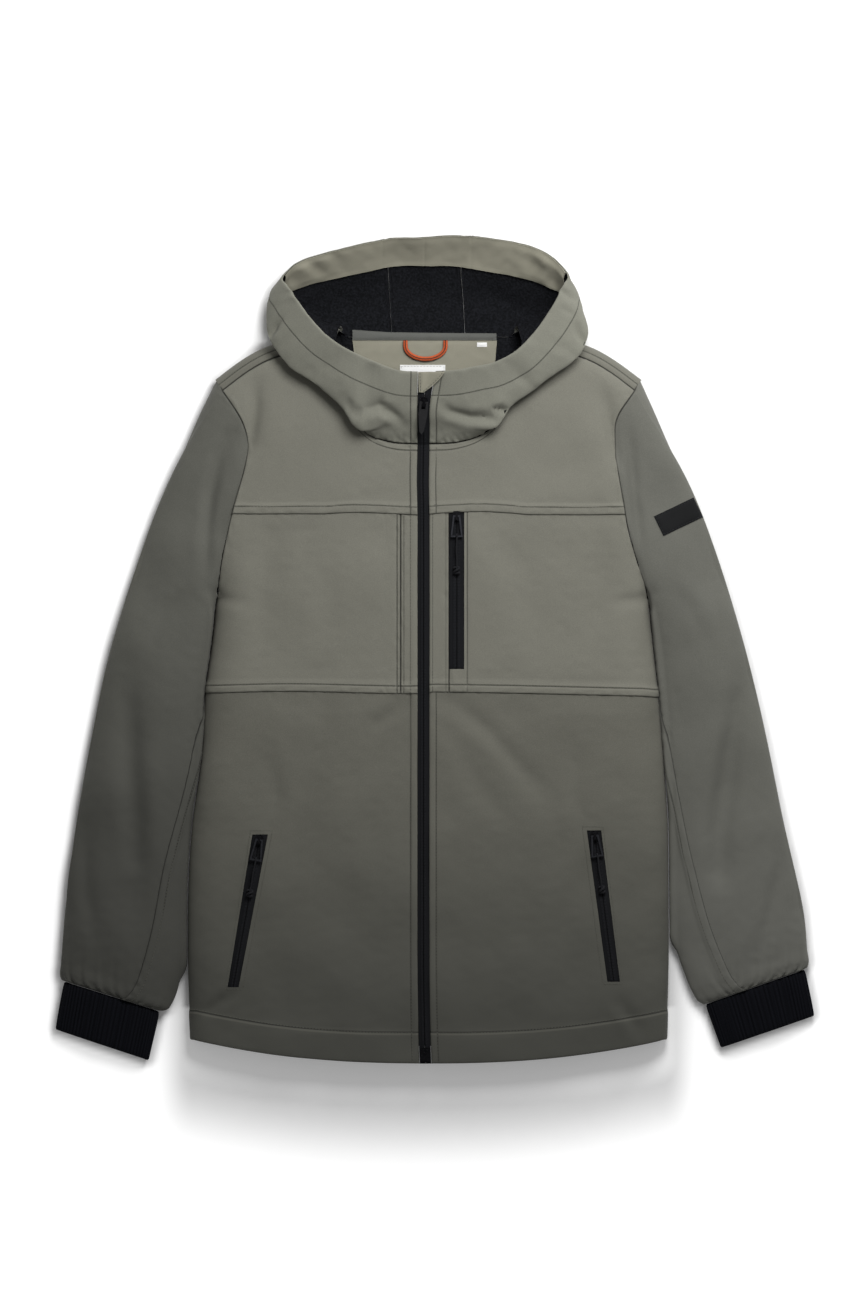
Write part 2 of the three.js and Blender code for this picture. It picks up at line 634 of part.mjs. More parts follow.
function yokeSurface(side) {
  const corner = armholeReach(side, 0);
  return (u, v) => {
    const lowReach = lerp(zipReach(side, 136), corner.reach, u);
    const low = [lowReach, yokeY(side, lowReach)];
    const topPoint = yokeTop(side, clamp(u, 0, 1));
    const top = [Math.abs(topPoint.x), topPoint.y];
    const neckStart = yokeTop(side, 0);
    const zipY = lerp(yokeY(side, 8), neckStart.y, v);
    const zipEdge = [zipReach(side, zipY), zipY];
    const arm = armholeReach(side, v);
    const armEdge = [arm.reach, arm.y];
    const corners = [
      [zipReach(side, 136), yokeY(side, 8)],
      [corner.reach, yokeY(side, corner.reach)],
      [Math.abs(yokeTop(side, 1).x), 258],
      [Math.abs(neckStart.x), neckStart.y],
    ];
    const place = [0, 1].map((axis) => {
      const ruled = lerp(low[axis], top[axis], v) + lerp(zipEdge[axis], armEdge[axis], u);
      const bilinear = lerp(lerp(corners[0][axis], corners[1][axis], u), lerp(corners[3][axis], corners[2][axis], u), v);
      return ruled - bilinear;
    });
    return new THREE.Vector3(side.sign * place[0], place[1], frontHeight(side, place[0], place[1]));
  };
}

function heightNormal(side, point) {
  const step = 1;
  const reach = Math.abs(point.x);
  const alongX = frontHeight(side, reach + step, point.y) - frontHeight(side, reach - step, point.y);
  const alongY = frontHeight(side, reach, point.y + step) - frontHeight(side, reach, point.y - step);
  return new THREE.Vector3((-side.sign * alongX) / (2 * step), -alongY / (2 * step), 1).normalize();
}

function frontYoke(side) {
  const surface = yokeSurface(side);
  const uKnots = join(neckKnots, shoulderKnots);
  const vKnots = even(YOKE_ROWS);
  const normalAt = (i, j) => heightNormal(side, surface(uKnots[i], vKnots[j]));
  return clothWall(surface, uKnots, vKnots, { outward: side.sign, normalAt });
}

// Back: columns run from -1 at the right side seam to 1 at the left
const BACK_NECK_SHARE = 0.46;
const BACK_WRAP_ROWS = 5;
const V_WAIST = 0.4;
const V_ARMPIT = 0.55;
const V_WRAP = 0.8;
const backKnots = join(
  lowerKnots.map((v) => v * V_WAIST),
  chestKnots.slice(0, CHEST_LOW_ROWS + 1).map((v) => lerp(V_WAIST, V_ARMPIT, v / 0.5)),
  [V_ARMPIT, 0.565, 0.59, 0.63, 0.7, V_WRAP],
  even(BACK_WRAP_ROWS, V_WRAP, 1),
);

function backEnd(share) {
  if (share < BACK_NECK_SHARE) return (share / BACK_NECK_SHARE) * NECK_POINT;
  return lerp(NECK_POINT, 206, (share - BACK_NECK_SHARE) / (1 - BACK_NECK_SHARE));
}

function backFloor(side, share, y) {
  const section = halfSection(side, y);
  const last = section.lengths[section.lengths.length - 1];
  return sectionPoint(side, y, lerp(last, backStart(side, y), share), section);
}

function backPoint(u, v) {
  const side = u < 0 ? RIGHT : LEFT;
  const share = Math.min(Math.abs(u), 1.02);
  const reachEnd = backEnd(Math.min(share, 1));
  const climbed = share >= BACK_NECK_SHARE ? 1 : climb(reachEnd);
  const tableEnd = shoulderWrap(side, reachEnd, 0);
  const wrapped = climbed * WRAP_LENGTH;
  const foldHere = foldReach(side, 0) * share;
  if (v <= V_WAIST) return backFloor(side, share, lowerRowY(side, v / V_WAIST, Math.max(foldHere, 205)));
  if (v <= V_ARMPIT) {
    const w = ((v - V_WAIST) / (V_ARMPIT - V_WAIST)) * 0.5;
    return backFloor(side, share, chestRowY(side, w, Math.max(foldHere, 205)));
  }
  const turnLength = WRAP_LENGTH + 6;
  const wrapStartY = tableEnd.y - (turnLength - wrapped);
  let y = 0;
  if (v <= V_WRAP) {
    y = lerp(49, wrapStartY, (v - V_ARMPIT) / (V_WRAP - V_ARMPIT));
  } else {
    const left = turnLength * (1 - (v - V_WRAP) / (1 - V_WRAP));
    if (wrapped > 0 && left < wrapped) return shoulderWrap(side, reachEnd, climbed * (1 - left / wrapped));
    y = tableEnd.y - (left - wrapped);
  }
  const point = backFloor(side, share, y);
  const target = backFloor(side, share, tableEnd.y);
  point.x += (tableEnd.x - target.x) * smoothstep(y, 120, tableEnd.y);
  return point;
}

const backColumnsHalf = join(even(6, 0, BACK_NECK_SHARE), even(SHOULDER_COLUMNS, BACK_NECK_SHARE, 1));
const backColumns = join(backColumnsHalf.map((u) => -u).reverse(), backColumnsHalf);

function backPanel() {
  return clothWall(backPoint, backColumns, backKnots, { outward: -1, gap: BACK_GAP });
}

// Armhole loop of one side as the sleeve meets it: from the shoulder seam down the front to the armpit
// and up the back again
function armholeLoop(side) {
  const stops = [];
  const yoke = yokeSurface(side);
  even(YOKE_ROWS).reverse().forEach((v) => {
    const point = yoke(1, v);
    stops.push({ point, normal: heightNormal(side, point) });
  });
  const chest = chestSurface(side);
  const step = 0.004;
  const normalOf = (surface, u, v, outward) => {
    const along = surface(u + step, v).sub(surface(u - step, v));
    const across = surface(u, v + step).sub(surface(u, v - step));
    return along.cross(across).multiplyScalar(outward).normalize();
  };
  chestKnots.slice(CHEST_LOW_ROWS).reverse().slice(1).forEach((v) => {
    stops.push({ point: chest(1, v), normal: normalOf(chest, 1, v, side.sign) });
  });
  const armpit = stops.length - 1;
  const firstBack = backKnots.findIndex((v) => v > V_ARMPIT + 1e-6);
  backKnots.slice(firstBack).forEach((v) => {
    stops.push({ point: backPoint(side.sign, v), normal: normalOf(backPoint, side.sign * 0.998, v, -1) });
  });
  const run = (from, to) => {
    const lengths = [0];
    for (let i = from + 1; i <= to; i += 1) lengths.push(lengths[i - from - 1] + stops[i].point.distanceTo(stops[i - 1].point));
    return lengths.map((length) => Math.acos(1 - (2 * length) / lengths[lengths.length - 1]) / Math.PI);
  };
  const angles = [...run(0, armpit), ...run(armpit, stops.length - 1).slice(1).map((q) => q + 1)];
  stops.forEach((stop, k) => {
    stop.at = angles[k];
  });
  return { stops, armpit };
}

const loops = new Map([[RIGHT, armholeLoop(RIGHT)], [LEFT, armholeLoop(LEFT)]]);

function loopPoint(side, around) {
  const { stops } = loops.get(side);
  const at = ((around % 2) + 2) % 2;
  let k = 0;
  while (k < stops.length - 2 && at > stops[k + 1].at) k += 1;
  const t = clamp((at - stops[k].at) / (stops[k + 1].at - stops[k].at), 0, 1);
  return stops[k].point.clone().lerp(stops[k + 1].point, t);
}

// Flattened round section between an outer and an inner edge: 0 to 1 goes over the top, 1 to 2 back below
function flatRound(row, around) {
  const at = ((around % 2) + 2) % 2;
  const width = Math.hypot(row.outX - row.inX, row.outY - row.inY);
  const share = at <= 1 ? (1 - Math.cos(Math.PI * at)) / 2 : (1 + Math.cos(Math.PI * (at - 1))) / 2;
  let z = 0;
  if (at <= 1) {
    z = SLEEVE_LIP + (row.z - SLEEVE_LIP) * Math.sin(Math.PI * at) ** 0.8;
  } else {
    const inside = Math.min(share, 1 - share) * width;
    const left = Math.max(SLEEVE_LIP - inside, 0);
    z = SLEEVE_LIP - Math.sqrt(SLEEVE_LIP ** 2 - left ** 2);
  }
  return new THREE.Vector3(lerp(row.outX, row.inX, share), lerp(row.outY, row.inY, share), z);
}

function sleeveRow(side, at) {
  const table = side === RIGHT ? sleeveRight : sleeveLeft;
  const rows = table.map((row, k) => ({ ...row, at: k }));
  const read = (column) => through(rows, 'at', column, at);
  return { outX: read('outX'), outY: read('outY'), inX: read('inX'), inY: read('inY'), z: read('z') };
}

function sleevePoint(side, around, at) {
  const point = flatRound(sleeveRow(side, at), around);
  const onTop = around - 2 * Math.floor(around / 2);
  if (onTop < 1) point.z -= creaseDepth(point.x, point.y) * Math.sin(Math.PI * onTop);
  if (at >= HEAD_REACH) return point;
  const share = 0.5 + 0.5 * Math.cos((Math.PI * Math.max(at, 0)) / HEAD_REACH);
  const move = loopPoint(side, around).sub(flatRound(sleeveRow(side, 0), around));
  point.addScaledVector(move, share);
  point.z = Math.max(point.z, 0);
  return point;
}

// The sleeve's hidden seam starts at this stop of the armhole, counted up the back from the armpit
const HIDDEN_STOP = 5;
const sleeveKnots = [0, 0.5, 1, 1.5, 2, 2.6, 3, 3.35, 3.7, 4.1, 4.5, 5, 6, 7, 8, 8.6, 9.2, 9.6, 10];

function sleevePanel(side, upper) {
  const { stops, armpit } = loops.get(side);
  const hidden = armpit + HIDDEN_STOP;
  const list = upper ? [...stops.slice(hidden, -1), ...stops.slice(0, armpit + 1)] : stops.slice(armpit, hidden + 1);
  const share = upper ? 0 : 1;
  const knots = list.map((stop, k) => {
    const wraps = upper && k < stops.length - 1 - hidden;
    return wraps ? stop.at - 2 : stop.at;
  });
  const hiddenHere = stops[hidden].at;
  const surface = (q, at) => {
    const seam = through(underarmSeams, 'at', 'share', at);
    let around = q;
    if (share === 0 && q > 0) around = q * seam;
    if (share === 1) around = hiddenHere - ((hiddenHere - q) * (hiddenHere - seam)) / (hiddenHere - 1);
    return sleevePoint(side, around, at);
  };
  const step = 0.01;
  const endNormal = (q) => {
    const along = surface(q + step, SLEEVE_END).sub(surface(q - step, SLEEVE_END));
    return along.cross(cuffAxis(side)).multiplyScalar(side.sign).normalize();
  };
  const normalAt = (i, j) => {
    if (j === sleeveKnots.length - 1) return endNormal(knots[i]);
    const inValley = list[i].point.y < VALLEY_TOP && Math.abs(list[i].normal.z) < LEVEL;
    return j === 0 && !inValley ? list[i].normal : null;
  };
  return clothWall(surface, knots, sleeveKnots, { outward: side.sign, gap: TWIST_GAP, normalAt });
}

const cuffEnd = (side) => (side === RIGHT ? cuffRight : cuffLeft);

function cuffAxis(side) {
  const start = sleeveRow(side, SLEEVE_END);
  const end = cuffEnd(side);
  return new THREE.Vector3(end.outX + end.inX - start.outX - start.inX, end.outY + end.inY - start.outY - start.inY, 0);
}

function cuff(side) {
  const start = sleeveRow(side, SLEEVE_END);
  const end = cuffEnd(side);
  const surface = (q, v) => {
    const row = {};
    Object.keys(end).forEach((column) => {
      row[column] = lerp(start[column], end[column], v);
    });
    return flatRound(row, q);
  };
  const knots = even(20, 0, 2);
  const step = 0.01;
  const normalAt = (i, j) => {
    const along = surface(knots[i] + step, even(3)[j]).sub(surface(knots[i] - step, even(3)[j]));
    return along.cross(cuffAxis(side)).multiplyScalar(side.sign).normalize();
  };
  return clothWall(surface, knots, even(3), { outward: side.sign, closed: true, wall: RIB_WALL, gap: CUFF_GAP, normalAt });
}

// Hood surface: at runs round the opening, rise goes from 0 at the neck seam to 3 at the rim
function hoodPoint(at, rise) {
  const read = (column) => through(hoodSections, 'at', column, at);
  const neck = neckSeam(clamp(read('neck'), 0, 1));
  if (at <= HOOD_FRONT_END || at >= HOOD_BACK_END) neck.z += HOOD_LIFT;
  const bulge = new THREE.Vector3(read('bulgeX'), read('bulgeY'), read('bulgeZ'));
  const rim = new THREE.Vector3(read('rimX'), read('rimY'), read('rimZ'));
  const low = neck.clone().lerp(bulge, 0.5);
  low.z = Math.max(read('lowZ'), 0);
  const rows = [neck, low, bulge, rim].map((point, k) => ({ x: point.x, y: point.y, z: point.z, k }));
  return new THREE.Vector3(...['x', 'y', 'z'].map((axis) => through(rows, 'k', axis, rise)));
}

const hoodHalf = [...even(9, 0, HOOD_FRONT_END), 6.35, 6.7, 7, 7.3, 7.6, 8, 8.5, 9, 10, 11, 12, 13];
const hoodStops = join(hoodHalf, hoodHalf.map((at) => HOOD_LAST - at).reverse());
const hoodKnots = (start, end) => hoodStops.filter((at) => at >= start && at <= end);
const hoodRises = [0, 0.35, 0.7, 1.1, 1.5, 1.9, 2.3, 2.7, 3];

function hoodPanel(start, end) {
  return clothWall(hoodPoint, hoodKnots(start, end), hoodRises, { outward: -1 });
}

// Strip of zip tape set a little below the cloth on both sides of it
function tapeWall(surface, uKnots, vKnots, outward, gap) {
  return clothWall(surface, uKnots, vKnots, { outward, gap, wall: TAPE_WALL, lift: -TAPE_DROP });
}

// Cloth edge by the main zip: 0 at the hem, 1 at the neck seam, 4 at the top of the collar
const NECK_Y = 204.5;
const COLLAR_TOP = 3.95;
const bodyKnots = [0, 0.022, 0.047, 0.1, 0.166, 0.35, 0.6, 0.8, 0.878, 0.91, 0.943, 0.97, 1];
const mainKnots = [...bodyKnots, ...hoodRises.slice(1, -1).map((rise) => rise + 1), COLLAR_TOP];

function mainEdge(side, at) {
  if (at > 1) return hoodPoint(side === RIGHT ? 0 : HOOD_LAST, at - 1);
  const y = lerp(hemY(side, 0), NECK_Y, at);
  const reach = zipReach(side, y);
  return new THREE.Vector3(side.sign * reach, y, frontHeight(side, reach, y));
}

// The main zip from its right edge, 0, to its left, 1
const mainZip = (u, at) => mainEdge(RIGHT, at).lerp(mainEdge(LEFT, at), u);

function mainTape(side) {
  const surface = (u, at) => mainZip(0.5 + (side.sign * u) / 2, at);
  return tapeWall(surface, even(2), mainKnots, side.sign, SEAM_GAP / 2);
}

// Chest and hand pocket zips as surfaces over their slots
const chestZip = (u, v) => chestSurface(LEFT)(u * CHEST_SLOT_SHARE, v);
const handZip = (side) => (u, v) => lowerSurface(side)(lerp(SLOT_START, SLOT_STOP, u), v);

// Frame on a zip: x across, y to the zip's top end and z out of the cloth
function zipFrame(surface, v, outward) {
  const step = 0.01;
  const middle = 0.5;
  const up = surface(middle, v + step).sub(surface(middle, v - step)).normalize();
  const across = surface(middle + step, v).sub(surface(middle - step, v));
  const out = across.cross(up).multiplyScalar(outward).normalize();
  const place = surface(middle, v).addScaledVector(out, -TAPE_DROP);
  return new THREE.Matrix4().makeBasis(up.clone().cross(out), up, out).setPosition(place);
}

const block = (x0, x1, y0, y1, z0, z1) => Manifold.cube([x1 - x0, y1 - y0, z1 - z0]).translate([x0, y0, z0]);
const slab = (outline, z0, z1) => Manifold.extrude([outline], z1 - z0).translate([0, 0, z0]);

function solidGeometry(shape, matrix = new THREE.Matrix4()) {
  const mesh = shape.getMesh();
  const geometry = fromTriangles(Array.from(mesh.vertProperties), Array.from(mesh.triVerts));
  return geometry.applyMatrix4(matrix);
}

// Slider: a wedge plate with a bridge over it that the pull hangs in
const SLIDER = { half: 4, tail: 3.1, length: 5, low: 0.3, plate: 2, hole: 2.2, leg: 3.5, bridge: 1.2, roof: 4.9, top: 5.8 };
const HINGE_Z = (SLIDER.plate + SLIDER.roof) / 2;
const BAR = 0.8;

function slider() {
  const { half, tail, length, low, plate, hole, leg, bridge, roof, top } = SLIDER;
  const outline = [[-tail, -length], [tail, -length], [half, 0.4 * length], [tail, length], [-tail, length], [-half, 0.4 * length]];
  return Manifold.union([
    slab(outline, low, plate),
    block(-bridge, bridge, hole, leg, low, top),
    block(-bridge, bridge, -leg, -hole, low, top),
    block(-bridge, bridge, -leg, leg, roof, top),
  ]);
}

// Pull lying towards the zip's lower end: a bar through the bridge, and outlines of its body and its window
function pull(outline, window, tilt) {
  const body = slab(outline, -BAR, BAR).subtract(slab(window, -2 * BAR, 2 * BAR));
  return body.rotate([tilt, 0, 0]).translate([0, 0, HINGE_Z]);
}

const RING_LENGTH = 21;
const ringOutline = [[-6, -RING_LENGTH], [6, -RING_LENGTH], [3.7, BAR], [-3.7, BAR]];
const ringWindow = [[-4.3, 2 * BAR - RING_LENGTH], [4.3, 2 * BAR - RING_LENGTH], [2.1, -BAR], [-2.1, -BAR]];
const tabOutline = [[0, -33], [2.2, -30], [4.5, -13], [4.2, BAR], [-4.2, BAR], [-4.5, -13], [-2.2, -30]];
const tabWindow = [[-2.1, -7], [2.1, -7], [2.1, -BAR], [-2.1, -BAR]];
const TAB_TILT = 5;

// Round rod along points that lie in one plane with the normal `across`
function rod(points, across, radius, sides) {
  const positions = [];
  points.forEach((point, k) => {
    const before = points[Math.max(k - 1, 0)];
    const after = points[Math.min(k + 1, points.length - 1)];
    const along = after.clone().sub(before).normalize();
    const out = across.clone().cross(along);
    for (let i = 0; i < sides; i += 1) {
      const angle = (2 * Math.PI * i) / sides;
      const place = point.clone().addScaledVector(out, radius * Math.cos(angle)).addScaledVector(across, radius * Math.sin(angle));
      positions.push(...place.toArray());
    }
  });
  const last = (points.length - 1) * sides;
  const faces = [];
  for (let i = 0; i < sides; i += 1) {
    const next = (i + 1) % sides;
    for (let k = 0; k < last; k += sides) {
      faces.push(k + i, k + next, k + sides + next, k + i, k + sides + next, k + sides + i);
    }
    if (i > 0 && i < sides - 1) {
      faces.push(0, i + 1, i);
      faces.push(last, last + i, last + i + 1);
    }
  }
  return new Manifold(new wasm.Mesh({ numProp: 3, vertProperties: new Float32Array(positions), triVerts: new Uint32Array(faces) }));
}

// Cord looped round the ring's lower bar and knotted below it
const CORD = { radius: 0.9, bend: 2.2, end: 1.05, knotY: -53, knotWide: 4, knotLong: 5.4, knotThick: 2.9 };

function cord() {
  const turnY = BAR - RING_LENGTH;
  const points = [];
  const bendSteps = 6;
  const strand = (sign, share) => {
    const z = HINGE_Z + sign * lerp(CORD.bend, CORD.end, smoothstep(share, 0, 1));
    return new THREE.Vector3(0, lerp(turnY, CORD.knotY, share), z);
  };
  [1, 0.5].forEach((share) => points.push(strand(-1, share)));
  for (let i = 0; i <= bendSteps; i += 1) {
    const angle = (Math.PI * i) / bendSteps;
    points.push(new THREE.Vector3(0, turnY + CORD.bend * Math.sin(angle), HINGE_Z - CORD.bend * Math.cos(angle)));
  }
  [0.5, 1].forEach((share) => points.push(strand(1, share)));
  const knot = Manifold.sphere(1, 12).scale([CORD.knotWide, CORD.knotLong, CORD.knotThick]).translate([0, CORD.knotY, HINGE_Z]);
  return rod(points, new THREE.Vector3(1, 0, 0), CORD.radius, 6).add(knot);
}

function addPocketZip(name, surface, side, knots, sliderAt) {
  const frame = zipFrame(surface, sliderAt, side.sign);
  add(`${name}_tape`, tapeWall(surface, even(2), knots, side.sign, SEAM_GAP), COLOURS.black);
  add(`${name}_slider`, solidGeometry(slider(), frame), COLOURS.black, 0.6, 0.4);
  add(`${name}_pull`, solidGeometry(pull(ringOutline, ringWindow, 0), frame), COLOURS.steel, 0.9, 0.35);
  add(`${name}_cord`, solidGeometry(cord(), frame), COLOURS.black);
}

// Metal box that joins the main zip's two halves at the hem
const ZIP_BOX = { at: 0.0145, half: 5.5, length: 7, height: 3.2, bevel: 1.2, ringOut: 2.6, ringIn: 1.5, ringRise: 1.2 };

function zipBox() {
  const { half, length, height, bevel, ringOut, ringIn, ringRise } = ZIP_BOX;
  const plate = slab([[-half, -length], [half, -length], [half, length], [-half, length]], SEAM_GAP, height - bevel);
  const cap = slab([[bevel - half, bevel - length], [half - bevel, bevel - length], [half - bevel, length - bevel], [bevel - half, length - bevel]], SEAM_GAP, height);
  const ring = Manifold.cylinder(ringRise, ringOut, ringOut, 20).subtract(Manifold.cylinder(3 * ringRise, ringIn, ringIn, 20, true));
  return Manifold.union([plate, cap, ring.translate([0, length / 2, height])]);
}

// Flap over the top of the main zip, from its left edge to its slanting right edge
const flapEdges = [
  { v: 0, leftX: -10.5, leftY: 276, rightX: 16.5, rightY: 276.5 },
  { v: 0.25, leftX: -10.3, leftY: 270, rightX: 11.5, rightY: 269.5 },
  { v: 0.5, leftX: -10.1, leftY: 264.5, rightX: 5, rightY: 263 },
  { v: 0.75, leftX: -9.9, leftY: 259.5, rightX: -0.5, rightY: 258.5 },
  { v: 1, leftX: -9.7, leftY: 255.5, rightX: -5, rightY: 255.3 },
];
const FLAP_LIFT = 2;

function collarHeight(y) {
  let [low, high] = [2.5, 4];
  for (let i = 0; i < 20; i += 1) {
    const middle = (low + high) / 2;
    if (mainZip(0.5, middle).y < y) low = middle;
    else high = middle;
  }
  return mainZip(0.5, low).z;
}

function chinFlap() {
  const surface = (u, v) => {
    const read = (column) => through(flapEdges, 'v', column, v);
    const x = lerp(read('leftX'), read('rightX'), u);
    const y = lerp(read('leftY'), read('rightY'), u);
    return new THREE.Vector3(x, y, collarHeight(y));
  };
  return clothWall(surface, even(3), even(8), { outward: -1, wall: TRIM_WALL, lift: FLAP_LIFT, gap: 0 });
}

// Badge on the left sleeve: each point is sought on the sleeve by its place in plan
const BADGE = { x: 249.5, y: 132, wide: 44, high: 22, turn: 25.5, columns: 8, rows: 4 };
const BADGE_START = { around: 0.4, at: 2.2 };
const EDGE_MARGIN = 0.03;

function sleeveUnder(side, x, y) {
  let { around, at } = BADGE_START;
  const step = 0.001;
  for (let i = 0; i < 20; i += 1) {
    const here = sleevePoint(side, around, at);
    const byAround = sleevePoint(side, around + step, at).sub(here).multiplyScalar(1 / step);
    const byAt = sleevePoint(side, around, at + step).sub(here).multiplyScalar(1 / step);
    const size = byAround.x * byAt.y - byAround.y * byAt.x;
    const [missX, missY] = [x - here.x, y - here.y];
    around = clamp(around + (missX * byAt.y - missY * byAt.x) / size, EDGE_MARGIN, 1 - EDGE_MARGIN);
    at = clamp(at + (byAround.x * missY - byAround.y * missX) / size, 0.5, 5);
  }
  return sleevePoint(side, around, at);
}

function sleeveBadge() {
  const turn = THREE.MathUtils.degToRad(BADGE.turn);
  const surface = (u, v) => {
    const [x, y] = [(u - 0.5) * BADGE.wide, (v - 0.5) * BADGE.high];
    return sleeveUnder(LEFT, BADGE.x + x * Math.cos(turn) - y * Math.sin(turn), BADGE.y + x * Math.sin(turn) + y * Math.cos(turn));
  };
  return clothWall(surface, even(BADGE.columns), even(BADGE.rows), { wall: TRIM_WALL, lift: SEAM_GAP + TRIM_WALL, gap: 0 });
}

// Band of facing inside the hood's upper edge
const FACING = { start: 8.5, stop: 17.5, low: 1.9 };

function hoodFacing() {
  const rises = hoodRises.filter((rise) => rise >= FACING.low);
  return clothWall(hoodPoint, hoodKnots(FACING.start, FACING.stop), rises, { outward: -1, wall: TRIM_WALL, lift: -WALL - SEAM_GAP });
}

// Flat pieces on the inside of the back, in layers 0.3 apart
const LAYER = TRIM_WALL + SEAM_GAP;
const layerFloor = (layer) => WALL + SEAM_GAP + layer * LAYER;
const flatPiece = (outline, layer) => solidGeometry(slab(outline, layerFloor(layer), layerFloor(layer) + TRIM_WALL));
const neckTapeOutline = [[-76, 308.7], [68, 308.7], [68, 315.6], [0, 316.2], [-40, 316.8], [-76, 319.2]];
const neckFacingOutline = [[-70, 262], [-45, 248], [0, 243], [45, 248], [64.5, 262], [68.5, 308.4], [-76, 308.4]];
const labelOutline = [[-28.5, 254], [16.8, 254], [16.8, 284], [-28.5, 284]];
const sizeTabOutline = [[48.5, 302], [58.5, 302], [58.5, 306.5], [48.5, 306.5]];

// Hanging loop: a U with its two ends at the neck tape
const LOOP = { x: -3, half: 20, endY: 308.3, bendY: 303, depth: 13, radius: 2.2 };

function hangerLoop() {
  const points = [];
  const z = layerFloor(1) + LOOP.radius;
  const steps = 16;
  points.push(new THREE.Vector3(LOOP.x - LOOP.half, LOOP.endY, z));
  for (let i = 0; i <= steps; i += 1) {
    const angle = Math.PI * (i / steps);
    points.push(new THREE.Vector3(LOOP.x - LOOP.half * Math.cos(angle), LOOP.bendY - LOOP.depth * Math.sin(angle), z));
  }
  points.push(new THREE.Vector3(LOOP.x + LOOP.half, LOOP.endY, z));
  return solidGeometry(rod(points, new THREE.Vector3(0, 0, 1), LOOP.radius, 8));
}

add('front_yoke_r', frontYoke(RIGHT), COLOURS.shell);
add('front_yoke_l', frontYoke(LEFT), COLOURS.shell);
add('front_chest_r', frontChest(RIGHT), COLOURS.shell);
add('front_chest_l', frontChest(LEFT), COLOURS.shell);
add('chest_strip_r', chestStrip(RIGHT), COLOURS.shell);
add('chest_strip_l', chestStrip(LEFT), COLOURS.shell);
add('front_lower_r', frontLower(RIGHT), COLOURS.shell);
add('front_lower_l', frontLower(LEFT), COLOURS.shell);
add('back', backPanel(), COLOURS.shell);
add('sleeve_top_r', sleevePanel(RIGHT, true), COLOURS.sleeve);
add('sleeve_top_l', sleevePanel(LEFT, true), COLOURS.sleeve);
add('sleeve_under_r', sleevePanel(RIGHT, false), COLOURS.sleeve);
add('sleeve_under_l', sleevePanel(LEFT, false), COLOURS.sleeve);
add('cuff_r', cuff(RIGHT), COLOURS.rib);
add('cuff_l', cuff(LEFT), COLOURS.rib);
add('hood_side_r', hoodPanel(0, HOOD_CENTRE_START), COLOURS.shell);
add('hood_centre', hoodPanel(HOOD_CENTRE_START, HOOD_CENTRE_END), COLOURS.shell);
add('hood_side_l', hoodPanel(HOOD_CENTRE_END, HOOD_LAST), COLOURS.shell);

add('main_zip_tape_r', mainTape(RIGHT), COLOURS.black);
add('main_zip_tape_l', mainTape(LEFT), COLOURS.black);
const MAIN_SLIDER = 3.18;
const mainFrame = zipFrame(mainZip, MAIN_SLIDER, 1);
add('main_zip_slider', solidGeometry(slider(), mainFrame), COLOURS.black, 0.6, 0.4);
add('main_zip_pull', solidGeometry(pull(tabOutline, tabWindow, TAB_TILT), mainFrame), COLOURS.black, 0.2, 0.5);
add('main_zip_box', solidGeometry(zipBox(), zipFrame(mainZip, ZIP_BOX.at, 1)), COLOURS.steel, 0.9, 0.35);

const handKnots = lowerKnots.slice(LOWER_HEM_ROWS, LOWER_HEM_ROWS + LOWER_POCKET_ROWS + 1);
addPocketZip('chest_zip', chestZip, LEFT, chestKnots.slice(1), 0.966);
addPocketZip('hand_zip_r', handZip(RIGHT), RIGHT, handKnots, 0.684);
addPocketZip('hand_zip_l', handZip(LEFT), LEFT, handKnots, 0.684);

add('neck_tape', flatPiece(neckTapeOutline, 0), COLOURS.tape);
add('back_neck_facing', flatPiece(neckFacingOutline, 0), COLOURS.facing);
add('neck_label', flatPiece(labelOutline, 1), COLOURS.label);
add('size_tab', flatPiece(sizeTabOutline, 1), COLOURS.label);
add('hanger_loop', hangerLoop(), COLOURS.orange);
add('hood_facing', hoodFacing(), COLOURS.facing);
add('chin_flap', chinFlap(), COLOURS.facing);
add('sleeve_badge', sleeveBadge(), COLOURS.black);

export default group;
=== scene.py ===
# %% [markdown]
# # A softshell jacket laid flat
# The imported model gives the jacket's pieces as plain walls with their true form. This lesson works the same form
# out again on a much finer grid, and adds what only a close look shows: folds, stitches, ribs, zips and weave.
# Lengths are in millimetres here, in the model's own frame, and become metres when a mesh is made.

# %% The frame and the tools
import math
from collections import namedtuple
import bpy
import numpy as np
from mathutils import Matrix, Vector, kdtree
from mathutils.bvhtree import BVHTree


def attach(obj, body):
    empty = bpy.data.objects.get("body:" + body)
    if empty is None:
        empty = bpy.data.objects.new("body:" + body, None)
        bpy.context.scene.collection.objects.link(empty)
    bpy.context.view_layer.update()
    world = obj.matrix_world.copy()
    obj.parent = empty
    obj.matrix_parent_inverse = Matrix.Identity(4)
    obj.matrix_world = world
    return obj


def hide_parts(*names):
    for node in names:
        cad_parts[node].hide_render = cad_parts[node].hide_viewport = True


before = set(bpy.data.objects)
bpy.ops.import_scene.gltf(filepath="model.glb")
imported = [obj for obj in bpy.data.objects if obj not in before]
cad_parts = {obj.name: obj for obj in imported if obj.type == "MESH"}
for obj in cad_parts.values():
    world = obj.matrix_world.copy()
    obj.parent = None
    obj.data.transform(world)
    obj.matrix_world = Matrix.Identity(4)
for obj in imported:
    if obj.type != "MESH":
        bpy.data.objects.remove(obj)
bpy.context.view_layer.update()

# %% [markdown]
# ## Measures of the cloth
# Each table has a row for a place on the jacket and a named column for each measure, as a pattern maker would
# list them. `through` draws one smooth curve through a column, and works on whole arrays, so that a panel of ten
# thousand points costs one call.

# %% Tables of the jacket's form
METRE = 0.001
LIP, ROLL, ROLL_POWER, CROWN = 9.0, 40.0, 2.2, 4.0  # the fold at each side, and how much lower the sides lie
HALF_CHEST, SHOULDER_WRAP, TAPE_HALF = 240.0, 13.0, 5.8
Side = namedtuple("Side", "name sign column")
RIGHT, LEFT = Side("r", -1, "right"), Side("l", 1, "left")


